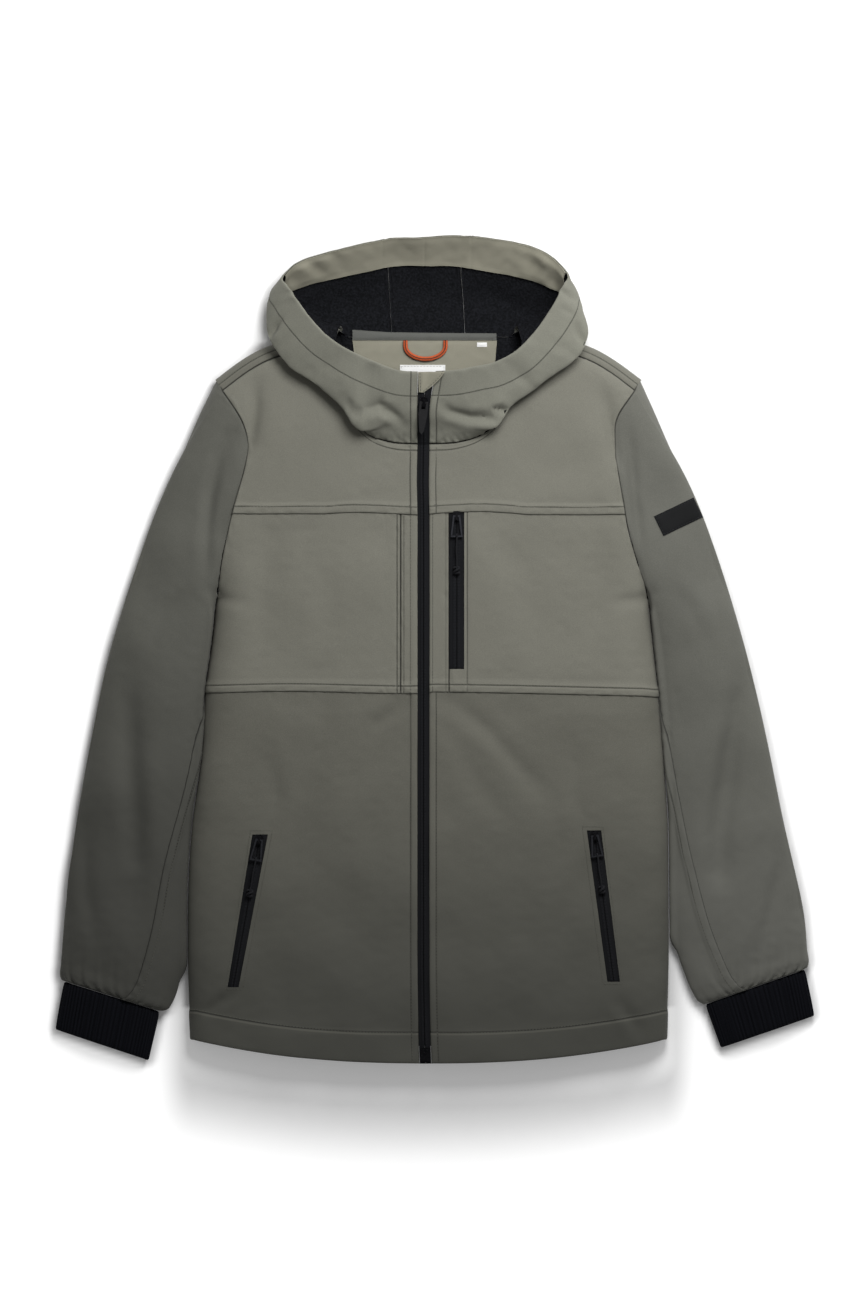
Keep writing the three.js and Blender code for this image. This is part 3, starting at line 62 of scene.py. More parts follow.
def columns(names, rows):
    return {name: np.array([row[k] for row in rows], float) for k, name in enumerate(names.split())}


SIDE_FOLDS = columns("y right left", [
    (-390, 237.5, 237.8), (-312, 240.5, 240), (-231, 239.8, 239.6), (-171, 235.5, 238.9),
    (-100, 226, 234.2), (-41, 222.5, 229), (0, 217, 224.5), (49, 211.5, 219.5)])
ARMHOLES = columns("y right left beyond under", [
    (49, 211.5, 219.5, 0, 0), (64, 210, 216.3, 4, 10), (89, 206.5, 208, 14, 20), (121, 199.5, 199, 30, 34),
    (148, 192.9, 194.5, 50, 53), (181, 183.5, 189, 60, 58), (207, 180.5, 186.5, 60, 56),
    (230, 187.5, 188, 60, 60), (258, 206.5, 205.5, 60, 65)])
SIDE_SEAMS = columns("y under", [(-40, 40), (0, 28), (30, 10), (49, 0)])
SHOULDERS = columns("x y",
                    [(0, 308), (60, 308), (93.5, 307), (125, 299.5), (158, 289.5), (180, 277.5), (206, 258)])
LOFTS = columns("y z", [(-414, 27), (-340, 31), (-100, 33.5), (140, 34), (308, 33)])
ZIP_LINE = columns("y x", [(-414, -3), (-385, -4), (-311, -5), (129, -5), (169, -5.6), (205, -5)])
NECK_FRONTS = columns("at x y", [
    (0, 8, 204.5), (0.2, 34, 206), (0.4, 58, 214), (0.6, 76, 232), (0.8, 87, 262), (1, 93.5, 307)])
NECK_POINT, NECK_CLIMB, NECK_Y, TIP, TIP_Y, ARMPIT_Y = 93.5, 82.0, 204.5, 206.0, 258.0, 49.0
YOKE_SEAM = columns("x y", [(-200, 139), (-96, 140.5), (-10, 136), (10, 137.5), (60, 140), (200, 138.5)])
WAIST_SEAM = columns("x y", [(-222, -40.5), (-140, -39), (-18, -41), (8, -39.5), (211, -43), (229, -44)])
HEM_MIDDLE, HEM_RISE, HEM_CURVE = -413.8, 24.0, 2.3
STRIP = {"r": 27.8, "l": 20.5}
CHEST_ZIP_OUTER, CHEST_ZIP_BOTTOM = 35.6, -20.0
Pocket = namedtuple("Pocket", "top bottom top_in top_out bottom_in bottom_out")
POCKETS = {"r": Pocket(-185, -337.5, 160.2, 175.7, 189.5, 200.5),
           "l": Pocket(-181, -332, 158, 172.3, 178.5, 191)}
CREASES = columns("x0 y0 x1 y1 width depth", [
    (-175.5, 262, -179, 208, 13, 2.4), (177.5, 246, 185, 200, 13, 2.2), (-206, 196, -220, 120, 10, 2.2),
    (205, 175, 214, 92, 10, 2.2), (307.5, -51, 289.5, -221, 11, 2), (-300, -60, -292, -210, 11, 1.6),
    (22, -62, 120, -150, 20, 1.2), (-40, -90, -130, -190, 22, 1)])
SLEEVE_LIP, SLEEVE_POWER = 8.0, 0.8
SLEEVE_KEYS = "out_x out_y in_x in_y z"
SLEEVES = {
    "r": columns(SLEEVE_KEYS, [
        (-217.5, 264.5, -211.5, 49, 30), (-240.5, 221, -214.6, 34, 28), (-262.5, 165, -217, 12, 27),
        (-292.5, 81, -224, -30, 25), (-318.5, -3, -228.5, -85, 24), (-336.5, -87, -235, -155, 23),
        (-351.5, -171, -241.2, -222, 22), (-362.5, -255, -242.5, -292, 22), (-366.5, -307, -250, -338, 21),
        (-367.5, -325, -259, -357, 19), (-364.5, -332, -268.5, -362, 16.5)]),
    "l": columns(SLEEVE_KEYS, [
        (218.5, 266, 219.5, 49, 30), (239.5, 221, 222.6, 34, 28), (262.5, 165, 225, 12, 27),
        (292.5, 81, 230.8, -30, 25), (317.5, -3, 236, -85, 24), (337.5, -87, 240, -155, 23),
        (354.5, -171, 241.5, -222, 22), (373.5, -255, 244.5, -285, 22), (378.5, -300, 258, -330, 21),
        (379.5, -313, 268, -349, 19), (376.5, -320, 276.5, -355, 16.5)])}
for table in SLEEVES.values():
    table["at"] = np.arange(11.0)
SLEEVE_END, HEAD_REACH, HIDDEN_V = 10.0, 2.6, 0.8
UNDERARM = columns("at share", [(0, 1), (3, 1), (4.5, 0.86), (7, 0.68), (10, 0.6)])
CUFFS = {"r": (-372.7, -380.6, -279.5, -411.4, 15.5), "l": (385.5, -367, 292.1, -399, 15.5)}
HOOD = columns("rim_x rim_y rim_z bulge_x bulge_y bulge_z low_z neck", [
    (-10.5, 276, 60, -11, 240, 53, 44, 0), (-29.5, 277.5, 61, -34, 237, 53, 44, 0.05),
    (-52.5, 285.5, 62, -67, 225, 50, 43, 0.11), (-82.5, 299, 62, -88, 247, 50, 42, 0.18),
    (-100, 311, 61, -112, 267, 48, 41, 0.24), (-118.5, 330, 58, -141, 284, 45, 38, 0.3),
    (-131, 347, 54, -158, 307, 38, 33, 1 / 3), (-141, 362, 49, -162, 330, 31, 28, 0.338),
    (-146.5, 369, 43, -153.5, 353, 25, 4, 0.352), (-142, 378, 39, -138, 361, 21, 0, 0.364),
    (-131, 387, 36, -122, 367, 18, 0, 0.378), (-108, 395, 33, -100, 372.5, 15, 0, 0.4),
    (-46, 409.5, 30, -41, 385.5, 13, 0, 0.435), (-4, 412, 29, -4, 387, 12, 0, 0.5),
    (43, 413, 30, 33, 386, 13, 0, 0.565), (86, 406, 33, 76, 379, 15, 0, 0.598),
    (118, 396, 36, 106, 372, 18, 0, 0.618), (135, 382, 39, 126, 363.5, 21, 0, 0.634),
    (141, 371, 43, 146, 352, 25, 4, 0.648), (135, 362, 49, 154, 332, 31, 28, 0.662),
    (124, 342, 54, 159, 314, 38, 33, 2 / 3), (107, 317, 58, 149, 292, 45, 38, 0.7),
    (86, 296, 61, 112, 267, 48, 41, 0.76), (65, 285, 62, 84, 247, 50, 42, 0.82),
    (45, 281, 62, 65, 226, 50, 43, 0.89), (25, 277.5, 61, 30, 238, 53, 44, 0.95),
    (7, 276.5, 60, 1, 241, 53, 44, 1)])
HOOD["at"] = np.arange(27.0)
HOOD_FRONT_END, HOOD_BACK_END, HOOD_LAST, HOOD_LIFT = 6.0, 20.0, 26.0, 0.7
print("tables ready:", len(HOOD["at"]), "hood sections")


# %% Curves and heights
def lerp(a, b, t):
    return a + (b - a) * t


def smoothstep(x, low, high):
    t = np.clip((x - low) / (high - low), 0, 1)
    return t * t * (3 - 2 * t)


def stack(x, y, z):
    return np.stack(np.broadcast_arrays(x, y, z), axis=-1).astype(float)


def cubic(first, last, leaving, arriving, t):
    """From `first` to `last` with a given slope at each end."""
    start = first * (2 * t**3 - 3 * t**2 + 1) + leaving * (t**3 - 2 * t**2 + t)
    return start + last * (3 * t**2 - 2 * t**3) + arriving * (t**3 - t**2)


def through(table, key, column, at):
    x, y = table[key], table[column]
    order = np.arange(len(x))
    before, after = np.maximum(order - 1, 0), np.minimum(order + 1, len(x) - 1)
    slope = (y[after] - y[before]) / (x[after] - x[before])
    k = np.clip(np.searchsorted(x, at) - 1, 0, len(x) - 2)
    span = x[k + 1] - x[k]
    t = np.clip((at - x[k]) / span, 0, 1)
    return cubic(y[k], y[k + 1], slope[k] * span, slope[k + 1] * span, t)


def round_edge(distance):
    t = np.clip(distance / ROLL, 0, 1)
    return (1 - (1 - t) ** ROLL_POWER) ** (1 / ROLL_POWER)


def fold_reach(side, y):
    low = through(SIDE_FOLDS, "y", side.column, y)
    high = through(ARMHOLES, "y", side.column, y) + through(ARMHOLES, "y", "beyond", y)
    return np.where(y <= ARMPIT_Y, low, high)


def zip_reach(side, y):
    return side.sign * through(ZIP_LINE, "y", "x", y) + TAPE_HALF


def yoke_y(side, reach):
    return through(YOKE_SEAM, "x", "y", side.sign * reach)


def waist_y(side, reach):
    return through(WAIST_SEAM, "x", "y", side.sign * reach)


def hem_y(reach):
    return HEM_MIDDLE + HEM_RISE * np.clip(reach / HALF_CHEST, 0, 1) ** HEM_CURVE


def shoulder(sign, reach):
    """Shoulder seam point, and the direction in plan out over the shoulder's fold."""
    step, seam = 0.5, lambda x: through(SHOULDERS, "x", "y", x)
    slope = (seam(reach + step) - seam(reach - step)) / (2 * step)
    size = np.hypot(slope, 1)
    return sign * reach, seam(reach), -sign * slope / size, 1 / size


def crease_depth(x, y):
    total = np.zeros(np.broadcast(x, y).shape)
    for x0, y0, x1, y1, width, depth in zip(*CREASES.values()):
        run_x, run_y = x1 - x0, y1 - y0
        along = np.clip(((x - x0) * run_x + (y - y0) * run_y) / (run_x**2 + run_y**2), 0, 1)
        away = np.hypot(x - x0 - along * run_x, y - y0 - along * run_y)
        total += depth * np.exp(-((away / width) ** 2))
    return total


def flat_loft(y, reach):
    return through(LOFTS, "y", "z", y) - CROWN * (reach / HALF_CHEST) ** 2


def front_height(side, reach, y):
    _, seam_y, _, cosine = shoulder(side.sign, np.minimum(reach, TIP - 1))
    from_shoulder = (seam_y - y) * cosine + SHOULDER_WRAP
    rise = flat_loft(y, reach) - crease_depth(side.sign * reach, y) - LIP
    return LIP + rise * round_edge(fold_reach(side, y) - reach) * round_edge(from_shoulder)


print("front stands", round(float(front_height(LEFT, 60.0, 0.0)), 1), "mm over the table")

# %% [markdown]
# ## The body's half section
# A jacket that lies flat is two layers joined by a soft roll at each side. One section at a height `y` runs from
# the zip over the front, round the fold and back under to the centre line. A panel then takes the stretch between
# two lengths of it, so that neighbours share their seam exactly.

# %% Sections of the body
FLAT_STEPS, TURN_STEPS, UNDER_STEPS = 14, 30, 8
FOLD_INDEX = FLAT_STEPS + TURN_STEPS


def half_section(side, y):
    y = np.asarray(y, float)[:, None]
    fold, start = fold_reach(side, y), zip_reach(side, y)
    flat = lerp(start, fold - ROLL, np.arange(FLAT_STEPS) / FLAT_STEPS)
    turn = fold - ROLL * (1 - np.arange(TURN_STEPS + 1) / TURN_STEPS) ** 2
    reach = np.concatenate([flat, turn], axis=1)
    z = front_height(side, reach, y)
    angle = np.arange(1, UNDER_STEPS + 1) / UNDER_STEPS * math.pi / 2
    reach = np.concatenate([reach, fold - LIP + LIP * np.cos(angle), 0 * fold], axis=1)
    z = np.concatenate([z, LIP - LIP * np.sin(angle) + 0 * fold, 0 * fold], axis=1)
    steps = np.hypot(np.diff(reach, axis=1), np.diff(z, axis=1))
    lengths = np.concatenate([0 * fold, np.cumsum(steps, axis=1)], axis=1)
    return reach, z, lengths


def read_rows(key, table, at, k):
    """Each row's `table` where its `key` comes to `at`, between its knots k and k + 1."""
    pick = lambda values, index: np.take_along_axis(values, index, axis=1)[:, 0]
    t = (at - pick(key, k)) / (pick(key, k + 1) - pick(key, k))
    return lerp(pick(table, k), pick(table, k + 1), t)


def section_point(side, y, length, section=None):
    reach, z, lengths = section or half_section(side, y)
    k = np.sum(lengths[:, 1:-1] < length[:, None], axis=1)[:, None]
    return stack(side.sign * read_rows(lengths, reach, length, k), y, read_rows(lengths, z, length, k))


def front_end(side, y):
    reach, _, lengths = half_section(side, y)
    under = lengths[:, FOLD_INDEX] + through(SIDE_SEAMS, "y", "under", y)
    armhole = through(ARMHOLES, "y", side.column, y)
    up_to_fold = reach[:, 1:FOLD_INDEX + 1]
    k = np.minimum(np.sum(up_to_fold < armhole[:, None], axis=1), FOLD_INDEX - 1)[:, None]
    return np.where(y <= ARMPIT_Y, under, read_rows(reach, lengths, armhole, k))


def back_start(side, y):
    lengths = half_section(side, y)[2]
    return lengths[:, FOLD_INDEX] + np.where(
        y <= ARMPIT_Y, through(SIDE_SEAMS, "y", "under", y), through(ARMHOLES, "y", "under", y))


POCKET_LOW, POCKET_HIGH, ZIP_LOW, ARMPIT_V, MIDDLE_REACH = 0.25, 0.7, 0.12, 0.5, 120.0


def three_bands(v, low, high, heights):
    """Runs through four heights as v goes from 0 by `low` and `high` to 1."""
    first, second, third, fourth = heights
    rest = np.where(v < high, lerp(second, third, (v - low) / (high - low)),
                    lerp(third, fourth, (v - high) / (1 - high)))
    return np.where(v < low, lerp(first, second, v / low), rest)


def lower_row_y(side, v, reach):
    pocket = POCKETS[side.name]
    heights = (hem_y(reach), pocket.bottom, pocket.top, waist_y(side, reach))
    return three_bands(v, POCKET_LOW, POCKET_HIGH, heights)


def chest_row_y(side, v, reach):
    heights = (waist_y(side, reach), CHEST_ZIP_BOTTOM, ARMPIT_Y, yoke_y(side, reach))
    return three_bands(v, ZIP_LOW, ARMPIT_V, heights)


def section_surface(side, inner, outer, row_y):
    def surface(u, v):
        middle = row_y(side, v, MIDDLE_REACH)
        length = lerp(inner(middle), outer(middle), u)
        reach = np.minimum(zip_reach(side, middle) + length, fold_reach(side, middle))
        y = row_y(side, v, reach)
        return section_point(side, y, lerp(inner(y), outer(y), u))
    return surface


SLOT_START, SLOT_STOP, CHEST_SLOT, SEAM_BESIDE_ZIP = 0.42, 0.48, 0.08, 15.0


def lower_surface(side):
    pocket = POCKETS[side.name]

    def line(y, u):
        t = (y - pocket.bottom) / (pocket.top - pocket.bottom)
        slot_in = lerp(pocket.bottom_in, pocket.top_in, t) - zip_reach(side, y)
        slot_out = lerp(pocket.bottom_out, pocket.top_out, t) - zip_reach(side, y)
        far = lerp(slot_out, front_end(side, y), (u - SLOT_STOP) / (1 - SLOT_STOP))
        slot = lerp(slot_in, slot_out, (u - SLOT_START) / (SLOT_STOP - SLOT_START))
        return np.where(u < SLOT_START, slot_in * (u / SLOT_START), np.where(u < SLOT_STOP, slot, far))

    def surface(u, v):
        middle = lower_row_y(side, v, MIDDLE_REACH)
        reach = np.minimum(zip_reach(side, middle) + line(middle, u), fold_reach(side, middle))
        y = lower_row_y(side, v, reach)
        return section_point(side, y, line(y, u))
    return surface


def chest_surface(side):
    strip = lambda y: STRIP[side.name] - zip_reach(side, y)
    slot_end = STRIP["r"] + SEAM_BESIDE_ZIP if side is RIGHT else CHEST_ZIP_OUTER
    slot = lambda y: slot_end - zip_reach(side, y)
    near = section_surface(side, strip, slot, chest_row_y)
    far = section_surface(side, slot, lambda y: front_end(side, y), chest_row_y)

    def surface(u, v):
        inside = (u < CHEST_SLOT)[:, None]
        return np.where(inside, near(u / CHEST_SLOT, v), far((u - CHEST_SLOT) / (1 - CHEST_SLOT), v))
    return surface


def strip_surface(side):
    outer = lambda y: STRIP[side.name] - zip_reach(side, y)
    return section_surface(side, lambda y: 0 * y, outer, chest_row_y)


# %% Neck, shoulders and yoke
WRAP_TURN, WRAP_LENGTH, NECK_SHARE = 0.45, 34.0, 0.5


def shoulder_wrap(sign, reach, share):
    x, y, out_x, out_y = shoulder(sign, reach)
    angle = np.clip(share / WRAP_TURN, 0, 1) * math.pi / 2
    inside = SHOULDER_WRAP * np.clip((share - WRAP_TURN) / (1 - WRAP_TURN), 0, 1) ** 2
    low = share < WRAP_TURN
    out = SHOULDER_WRAP - np.where(low, LIP * (1 - np.sin(angle)), inside)
    z = np.where(low, LIP * (1 - np.cos(angle)), LIP + (flat_loft(y, reach) - LIP) * round_edge(inside))
    return stack(x + out_x * out, y + out_y * out, z)


def climb(reach):
    return smoothstep(reach, NECK_CLIMB, NECK_POINT)


def front_neck(side, at):
    y = through(NECK_FRONTS, "at", "y", at)
    start = float(zip_reach(side, NECK_Y))
    reach = start * (1 - at) + through(NECK_FRONTS, "at", "x", at) - 8 * (1 - at)
    return stack(side.sign * reach, y, front_height(side, reach, y))


def neck_seam(share):
    third = np.asarray(share, float) * 3
    x = lerp(-NECK_POINT, NECK_POINT, np.clip(third - 1, 0, 1))
    back = shoulder_wrap(np.where(x < 0, -1, 1), np.abs(x), climb(np.abs(x)))
    right, left = front_neck(RIGHT, np.clip(third, 0, 1)), front_neck(LEFT, np.clip(3 - third, 0, 1))
    front = np.where((third <= 1)[:, None], right, left)
    return np.where(((third > 1) & (third < 2))[:, None], back, front)


def yoke_top(side, u):
    at = u / NECK_SHARE / 3
    neck = neck_seam(at if side is RIGHT else 1 - at)
    reach = lerp(NECK_POINT, TIP, np.clip((u - NECK_SHARE) / (1 - NECK_SHARE), 0, 1))
    x, y, _, _ = shoulder(side.sign, reach)
    on_neck = u <= NECK_SHARE
    return np.where(on_neck, np.abs(neck[:, 0]), np.abs(x)), np.where(on_neck, neck[:, 1], y)


def armhole_reach(side, v):
    y = lerp(yoke_y(side, 195.0), TIP_Y, v)
    fit = smoothstep(y, 230, TIP_Y) * (TIP - through(ARMHOLES, "y", side.column, TIP_Y))
    return through(ARMHOLES, "y", side.column, y) + fit, y


def yoke_surface(side):
    start = float(zip_reach(side, 136.0))
    corner_x, corner_y = (float(c) for c in armhole_reach(side, 0.0))
    neck_x, neck_y = (float(c[0]) for c in yoke_top(side, np.zeros(1)))
    corners = [(start, float(yoke_y(side, 8.0))), (corner_x, float(yoke_y(side, corner_x))),
               (TIP, TIP_Y), (neck_x, neck_y)]

    def surface(u, v):
        low_x = lerp(start, corner_x, u)
        top_x, top_y = yoke_top(side, np.clip(u, 0, 1))
        zip_y = lerp(corners[0][1], neck_y, v)
        arm_x, arm_y = armhole_reach(side, v)
        place = []
        for low, top, inner, outer, axis in ((low_x, top_x, zip_reach(side, zip_y), arm_x, 0),
                                             (yoke_y(side, low_x), top_y, zip_y, arm_y, 1)):
            a, b, c, d = (corner[axis] for corner in corners)
            place.append(lerp(low, top, v) + lerp(inner, outer, u) - lerp(lerp(a, b, u), lerp(d, c, u), v))
        return stack(side.sign * place[0], place[1], front_height(side, place[0], place[1]))
    return surface


# %% Back, from the hem to the shoulder seams
BACK_NECK_SHARE, V_WAIST, V_ARMPIT, V_WRAP = 0.46, 0.4, 0.55, 0.8
BACK_WIDE, BEYOND_WRAP = 205, 6


def back_floor(side, share, y):
    section = half_section(side, y)
    return section_point(side, y, lerp(section[2][:, -1], back_start(side, y), share), section)


def back_half(side, share, v):
    inner = np.minimum(share, 1)
    reach_end = np.where(inner < BACK_NECK_SHARE, inner / BACK_NECK_SHARE * NECK_POINT,
                         lerp(NECK_POINT, TIP, (inner - BACK_NECK_SHARE) / (1 - BACK_NECK_SHARE)))
    climbed = np.where(share >= BACK_NECK_SHARE, 1.0, climb(reach_end))
    table_end = shoulder_wrap(side.sign, reach_end, 0 * share)
    wrapped = climbed * WRAP_LENGTH
    wide = np.maximum(fold_reach(side, 0.0) * share, BACK_WIDE)
    turn = WRAP_LENGTH + BEYOND_WRAP
    left = turn * (1 - (v - V_WRAP) / (1 - V_WRAP))
    rows = [
        (v <= V_WAIST, lower_row_y(side, v / V_WAIST, wide)),
        (v <= V_ARMPIT, chest_row_y(side, (v - V_WAIST) / (V_ARMPIT - V_WAIST) * ARMPIT_V, wide)),
        (v <= V_WRAP,
         lerp(ARMPIT_Y, table_end[:, 1] - (turn - wrapped), (v - V_ARMPIT) / (V_WRAP - V_ARMPIT)))]
    y = np.select([test for test, _ in rows], [row for _, row in rows], table_end[:, 1] - (left - wrapped))
    point = back_floor(side, share, y)
    target = back_floor(side, share, table_end[:, 1])
    shift = (table_end[:, 0] - target[:, 0]) * smoothstep(y, 120, table_end[:, 1])
    point[:, 0] += np.where(v > V_ARMPIT, shift, 0)
    over = (v > V_WRAP) & (left < wrapped)
    safe = np.where(wrapped > 0, wrapped, 1)
    folded = shoulder_wrap(side.sign, reach_end, climbed * (1 - np.minimum(left / safe, 1)))
    return np.where(over[:, None], folded, point)


def back_surface(u, v):
    right, left = back_half(RIGHT, np.abs(u), v), back_half(LEFT, np.abs(u), v)
    return np.where((u < 0)[:, None], right, left)


# %% Sleeves, cuffs and hood
def armhole_loop(side):
    """The armhole as the sleeve meets it: down the front from the shoulder seam, and up the back again."""
    one = lambda values: np.ones(len(values))
    yoke_v = np.linspace(1, 0, 25)
    chest_v = np.linspace(1, ARMPIT_V, 17)[1:]
    back_v = np.concatenate([np.linspace(V_ARMPIT, V_WRAP, 17)[1:], np.linspace(V_WRAP, 1, 21)[1:]])
    front = np.concatenate([yoke_surface(side)(one(yoke_v), yoke_v),
                            chest_surface(side)(one(chest_v), chest_v)])
    back = np.concatenate([front[-1:], back_surface(side.sign * one(back_v), back_v)])

    def angles(points):
        steps = np.linalg.norm(np.diff(points, axis=0), axis=1)
        length = np.concatenate([[0], np.cumsum(steps)])
        return np.arccos(1 - 2 * length / length[-1]) / math.pi
    back_at = angles(back) + 1
    hidden = float(back_at[1 + int(np.argmin(np.abs(back_v - HIDDEN_V)))])
    return np.concatenate([angles(front), back_at[1:]]), np.concatenate([front, back[1:]]), hidden


LOOPS = {side.name: armhole_loop(side) for side in (RIGHT, LEFT)}


def flat_round(row, around):
    at = around % 2
    width = np.hypot(row["out_x"] - row["in_x"], row["out_y"] - row["in_y"])
    over = at <= 1
    share = np.where(over, (1 - np.cos(np.pi * at)) / 2, (1 + np.cos(np.pi * (at - 1))) / 2)
    arch = np.abs(np.sin(np.pi * np.where(over, at, 0))) ** SLEEVE_POWER
    top = SLEEVE_LIP + (row["z"] - SLEEVE_LIP) * arch
    left = np.maximum(SLEEVE_LIP - np.minimum(share, 1 - share) * width, 0)
    z = np.where(over, top, SLEEVE_LIP - np.sqrt(SLEEVE_LIP**2 - left**2))
    return stack(lerp(row["out_x"], row["in_x"], share), lerp(row["out_y"], row["in_y"], share), z)


def sleeve_row(side, at):
    table = SLEEVES[side.name]
    return {key: through(table, "at", key, at) for key in SLEEVE_KEYS.split()}


def sleeve_surface(side):
    loop_at, loop_points, _ = LOOPS[side.name]

    def surface(around, at):
        point = flat_round(sleeve_row(side, at), around)
        on_top = around % 2
        dip = crease_depth(point[:, 0], point[:, 1]) * np.sin(np.pi * on_top)
        point[:, 2] -= np.where(on_top < 1, dip, 0)
        share = 0.5 + 0.5 * np.cos(np.pi * np.clip(at, 0, HEAD_REACH) / HEAD_REACH)
        loop = stack(*(np.interp(on_top, loop_at, loop_points[:, axis]) for axis in range(3)))
        point += (loop - flat_round(sleeve_row(side, 0 * at), around)) * share[:, None]
        point[:, 2] = np.maximum(point[:, 2], 0)
        return point
    return surface


def sleeve_panel_surface(side, upper):
    hidden = LOOPS[side.name][2]

    def surface(q, at):
        seam = through(UNDERARM, "at", "share", at)
        over = np.where(q > 0, q * seam, q)
        under = hidden - (hidden - q) * (hidden - seam) / (hidden - 1)
        return sleeve_surface(side)(over if upper else under, at)
    return surface


def cuff_surface(side):
    end = dict(zip(SLEEVE_KEYS.split(), CUFFS[side.name]))

    def surface(around, v):
        start = sleeve_row(side, 0 * v + SLEEVE_END)
        return flat_round({key: lerp(start[key], end[key], v) for key in end}, around)
    return surface


def hood_surface(at, rise):
    read = lambda column: through(HOOD, "at", column, at)
    neck = neck_seam(np.clip(read("neck"), 0, 1))
    neck[:, 2] += np.where((at <= HOOD_FRONT_END) | (at >= HOOD_BACK_END), HOOD_LIFT, 0)
    bulge, rim = (stack(*(read(f"{row}_{axis}") for axis in "xyz")) for row in ("bulge", "rim"))
    low = (neck + bulge) / 2
    low[:, 2] = np.maximum(read("low_z"), 0)
    rows = [neck, low, bulge, rim]
    k = np.clip(np.ceil(rise) - 1, 0, 2).astype(int)
    t = (rise - k)[:, None]
    pick = lambda shift: np.choose(np.clip(k + shift, 0, 3)[:, None], rows)
    slope = lambda shift: (pick(shift + 1) - pick(shift - 1)) / (
        np.clip(k + shift + 1, 0, 3) - np.clip(k + shift - 1, 0, 3))[:, None]
    return cubic(pick(0), pick(1), slope(0), slope(1), t)


print("hidden sleeve seams at", [round(LOOPS[name][2], 3) for name in "rl"])

# %% [markdown]
# ## The camera and the room
# The jacket was photographed from straight above and far off, so the lens is long and there is hardly any
# perspective. A pale floor, which glows with painted light, and large soft lamps stand for the studio. The key
# lamp hangs close over the hood, so the cloth darkens towards the hem and the sleeves' outer sides. The softshell
# finishes below paint a part of that fall into their colour, as painted shade.

# %% Camera, lamps and room light
CAMERA_HEIGHT, CAMERA_X, FRAME_HEIGHT, SENSOR, ROOM_LIGHT = 12.0, 0.004, 1.298, 36.0, 0.22
camera_data = bpy.data.cameras.new("camera")
camera_data.sensor_width = SENSOR
camera_data.lens = SENSOR * CAMERA_HEIGHT / FRAME_HEIGHT
camera_data.clip_end = 60
camera = bpy.data.objects.new("camera", camera_data)
camera.location = (CAMERA_X, 0, CAMERA_HEIGHT)
bpy.context.collection.objects.link(camera)
bpy.context.scene.camera = camera
bpy.context.scene.view_settings.view_transform = "Standard"


def lamp(name, place, target, size, watts):
    data = bpy.data.lights.new(name, "AREA")
    data.shape, data.size, data.energy = "DISK", size, watts
    made = bpy.data.objects.new(name, data)
    made.location = place
    made.rotation_euler = (Vector(target) - Vector(place)).to_track_quat("-Z", "Y").to_euler()
    bpy.context.collection.objects.link(made)


lamp("key lamp", (0.30, 0.85, 1.05), (0.05, 0.12, 0.0), 0.7, 17)
lamp("edge lamp", (1.3, 1.4, 0.5), (0.0, 0.1, 0.02), 0.5, 5)
world = bpy.data.worlds.new("room")
bpy.context.scene.world = world
world.use_nodes = True
background = world.node_tree.nodes["Background"].inputs
background["Color"].default_value = (1, 1, 1, 1)
background["Strength"].default_value = ROOM_LIGHT
print("lens", round(camera_data.lens, 1), "mm")

# %% [markdown]
# ## Finishes written as sums
# A finish is a small graph of shader nodes. `Socket` wraps one node output, so that Python's own signs add Math
# nodes, and `Finish.node` adds any other node. The pattern of each cloth then reads as one line of arithmetic.


# %% A socket that takes part in sums
class Socket:
    def __init__(self, finish, link):
        self.finish, self.link = finish, link

    def __add__(self, other):
        return self.finish.sum("ADD", self, other)

    def __sub__(self, other):
        return self.finish.sum("SUBTRACT", self, other)

    def __rsub__(self, other):
        return self.finish.sum("SUBTRACT", other, self)

    def __mul__(self, other):
        return self.finish.sum("MULTIPLY", self, other)

    def __truediv__(self, other):
        return self.finish.sum("DIVIDE", self, other)

    def power(self, other):
        return self.finish.sum("POWER", self, other)

    def most(self, other):
        return self.finish.sum("MAXIMUM", self, other)

    def size(self):
        return self.finish.sum("ABSOLUTE", self, 0)

    def wave(self):
        return self.finish.sum("SINE", self, 0)

    __radd__, __rmul__ = __add__, __mul__


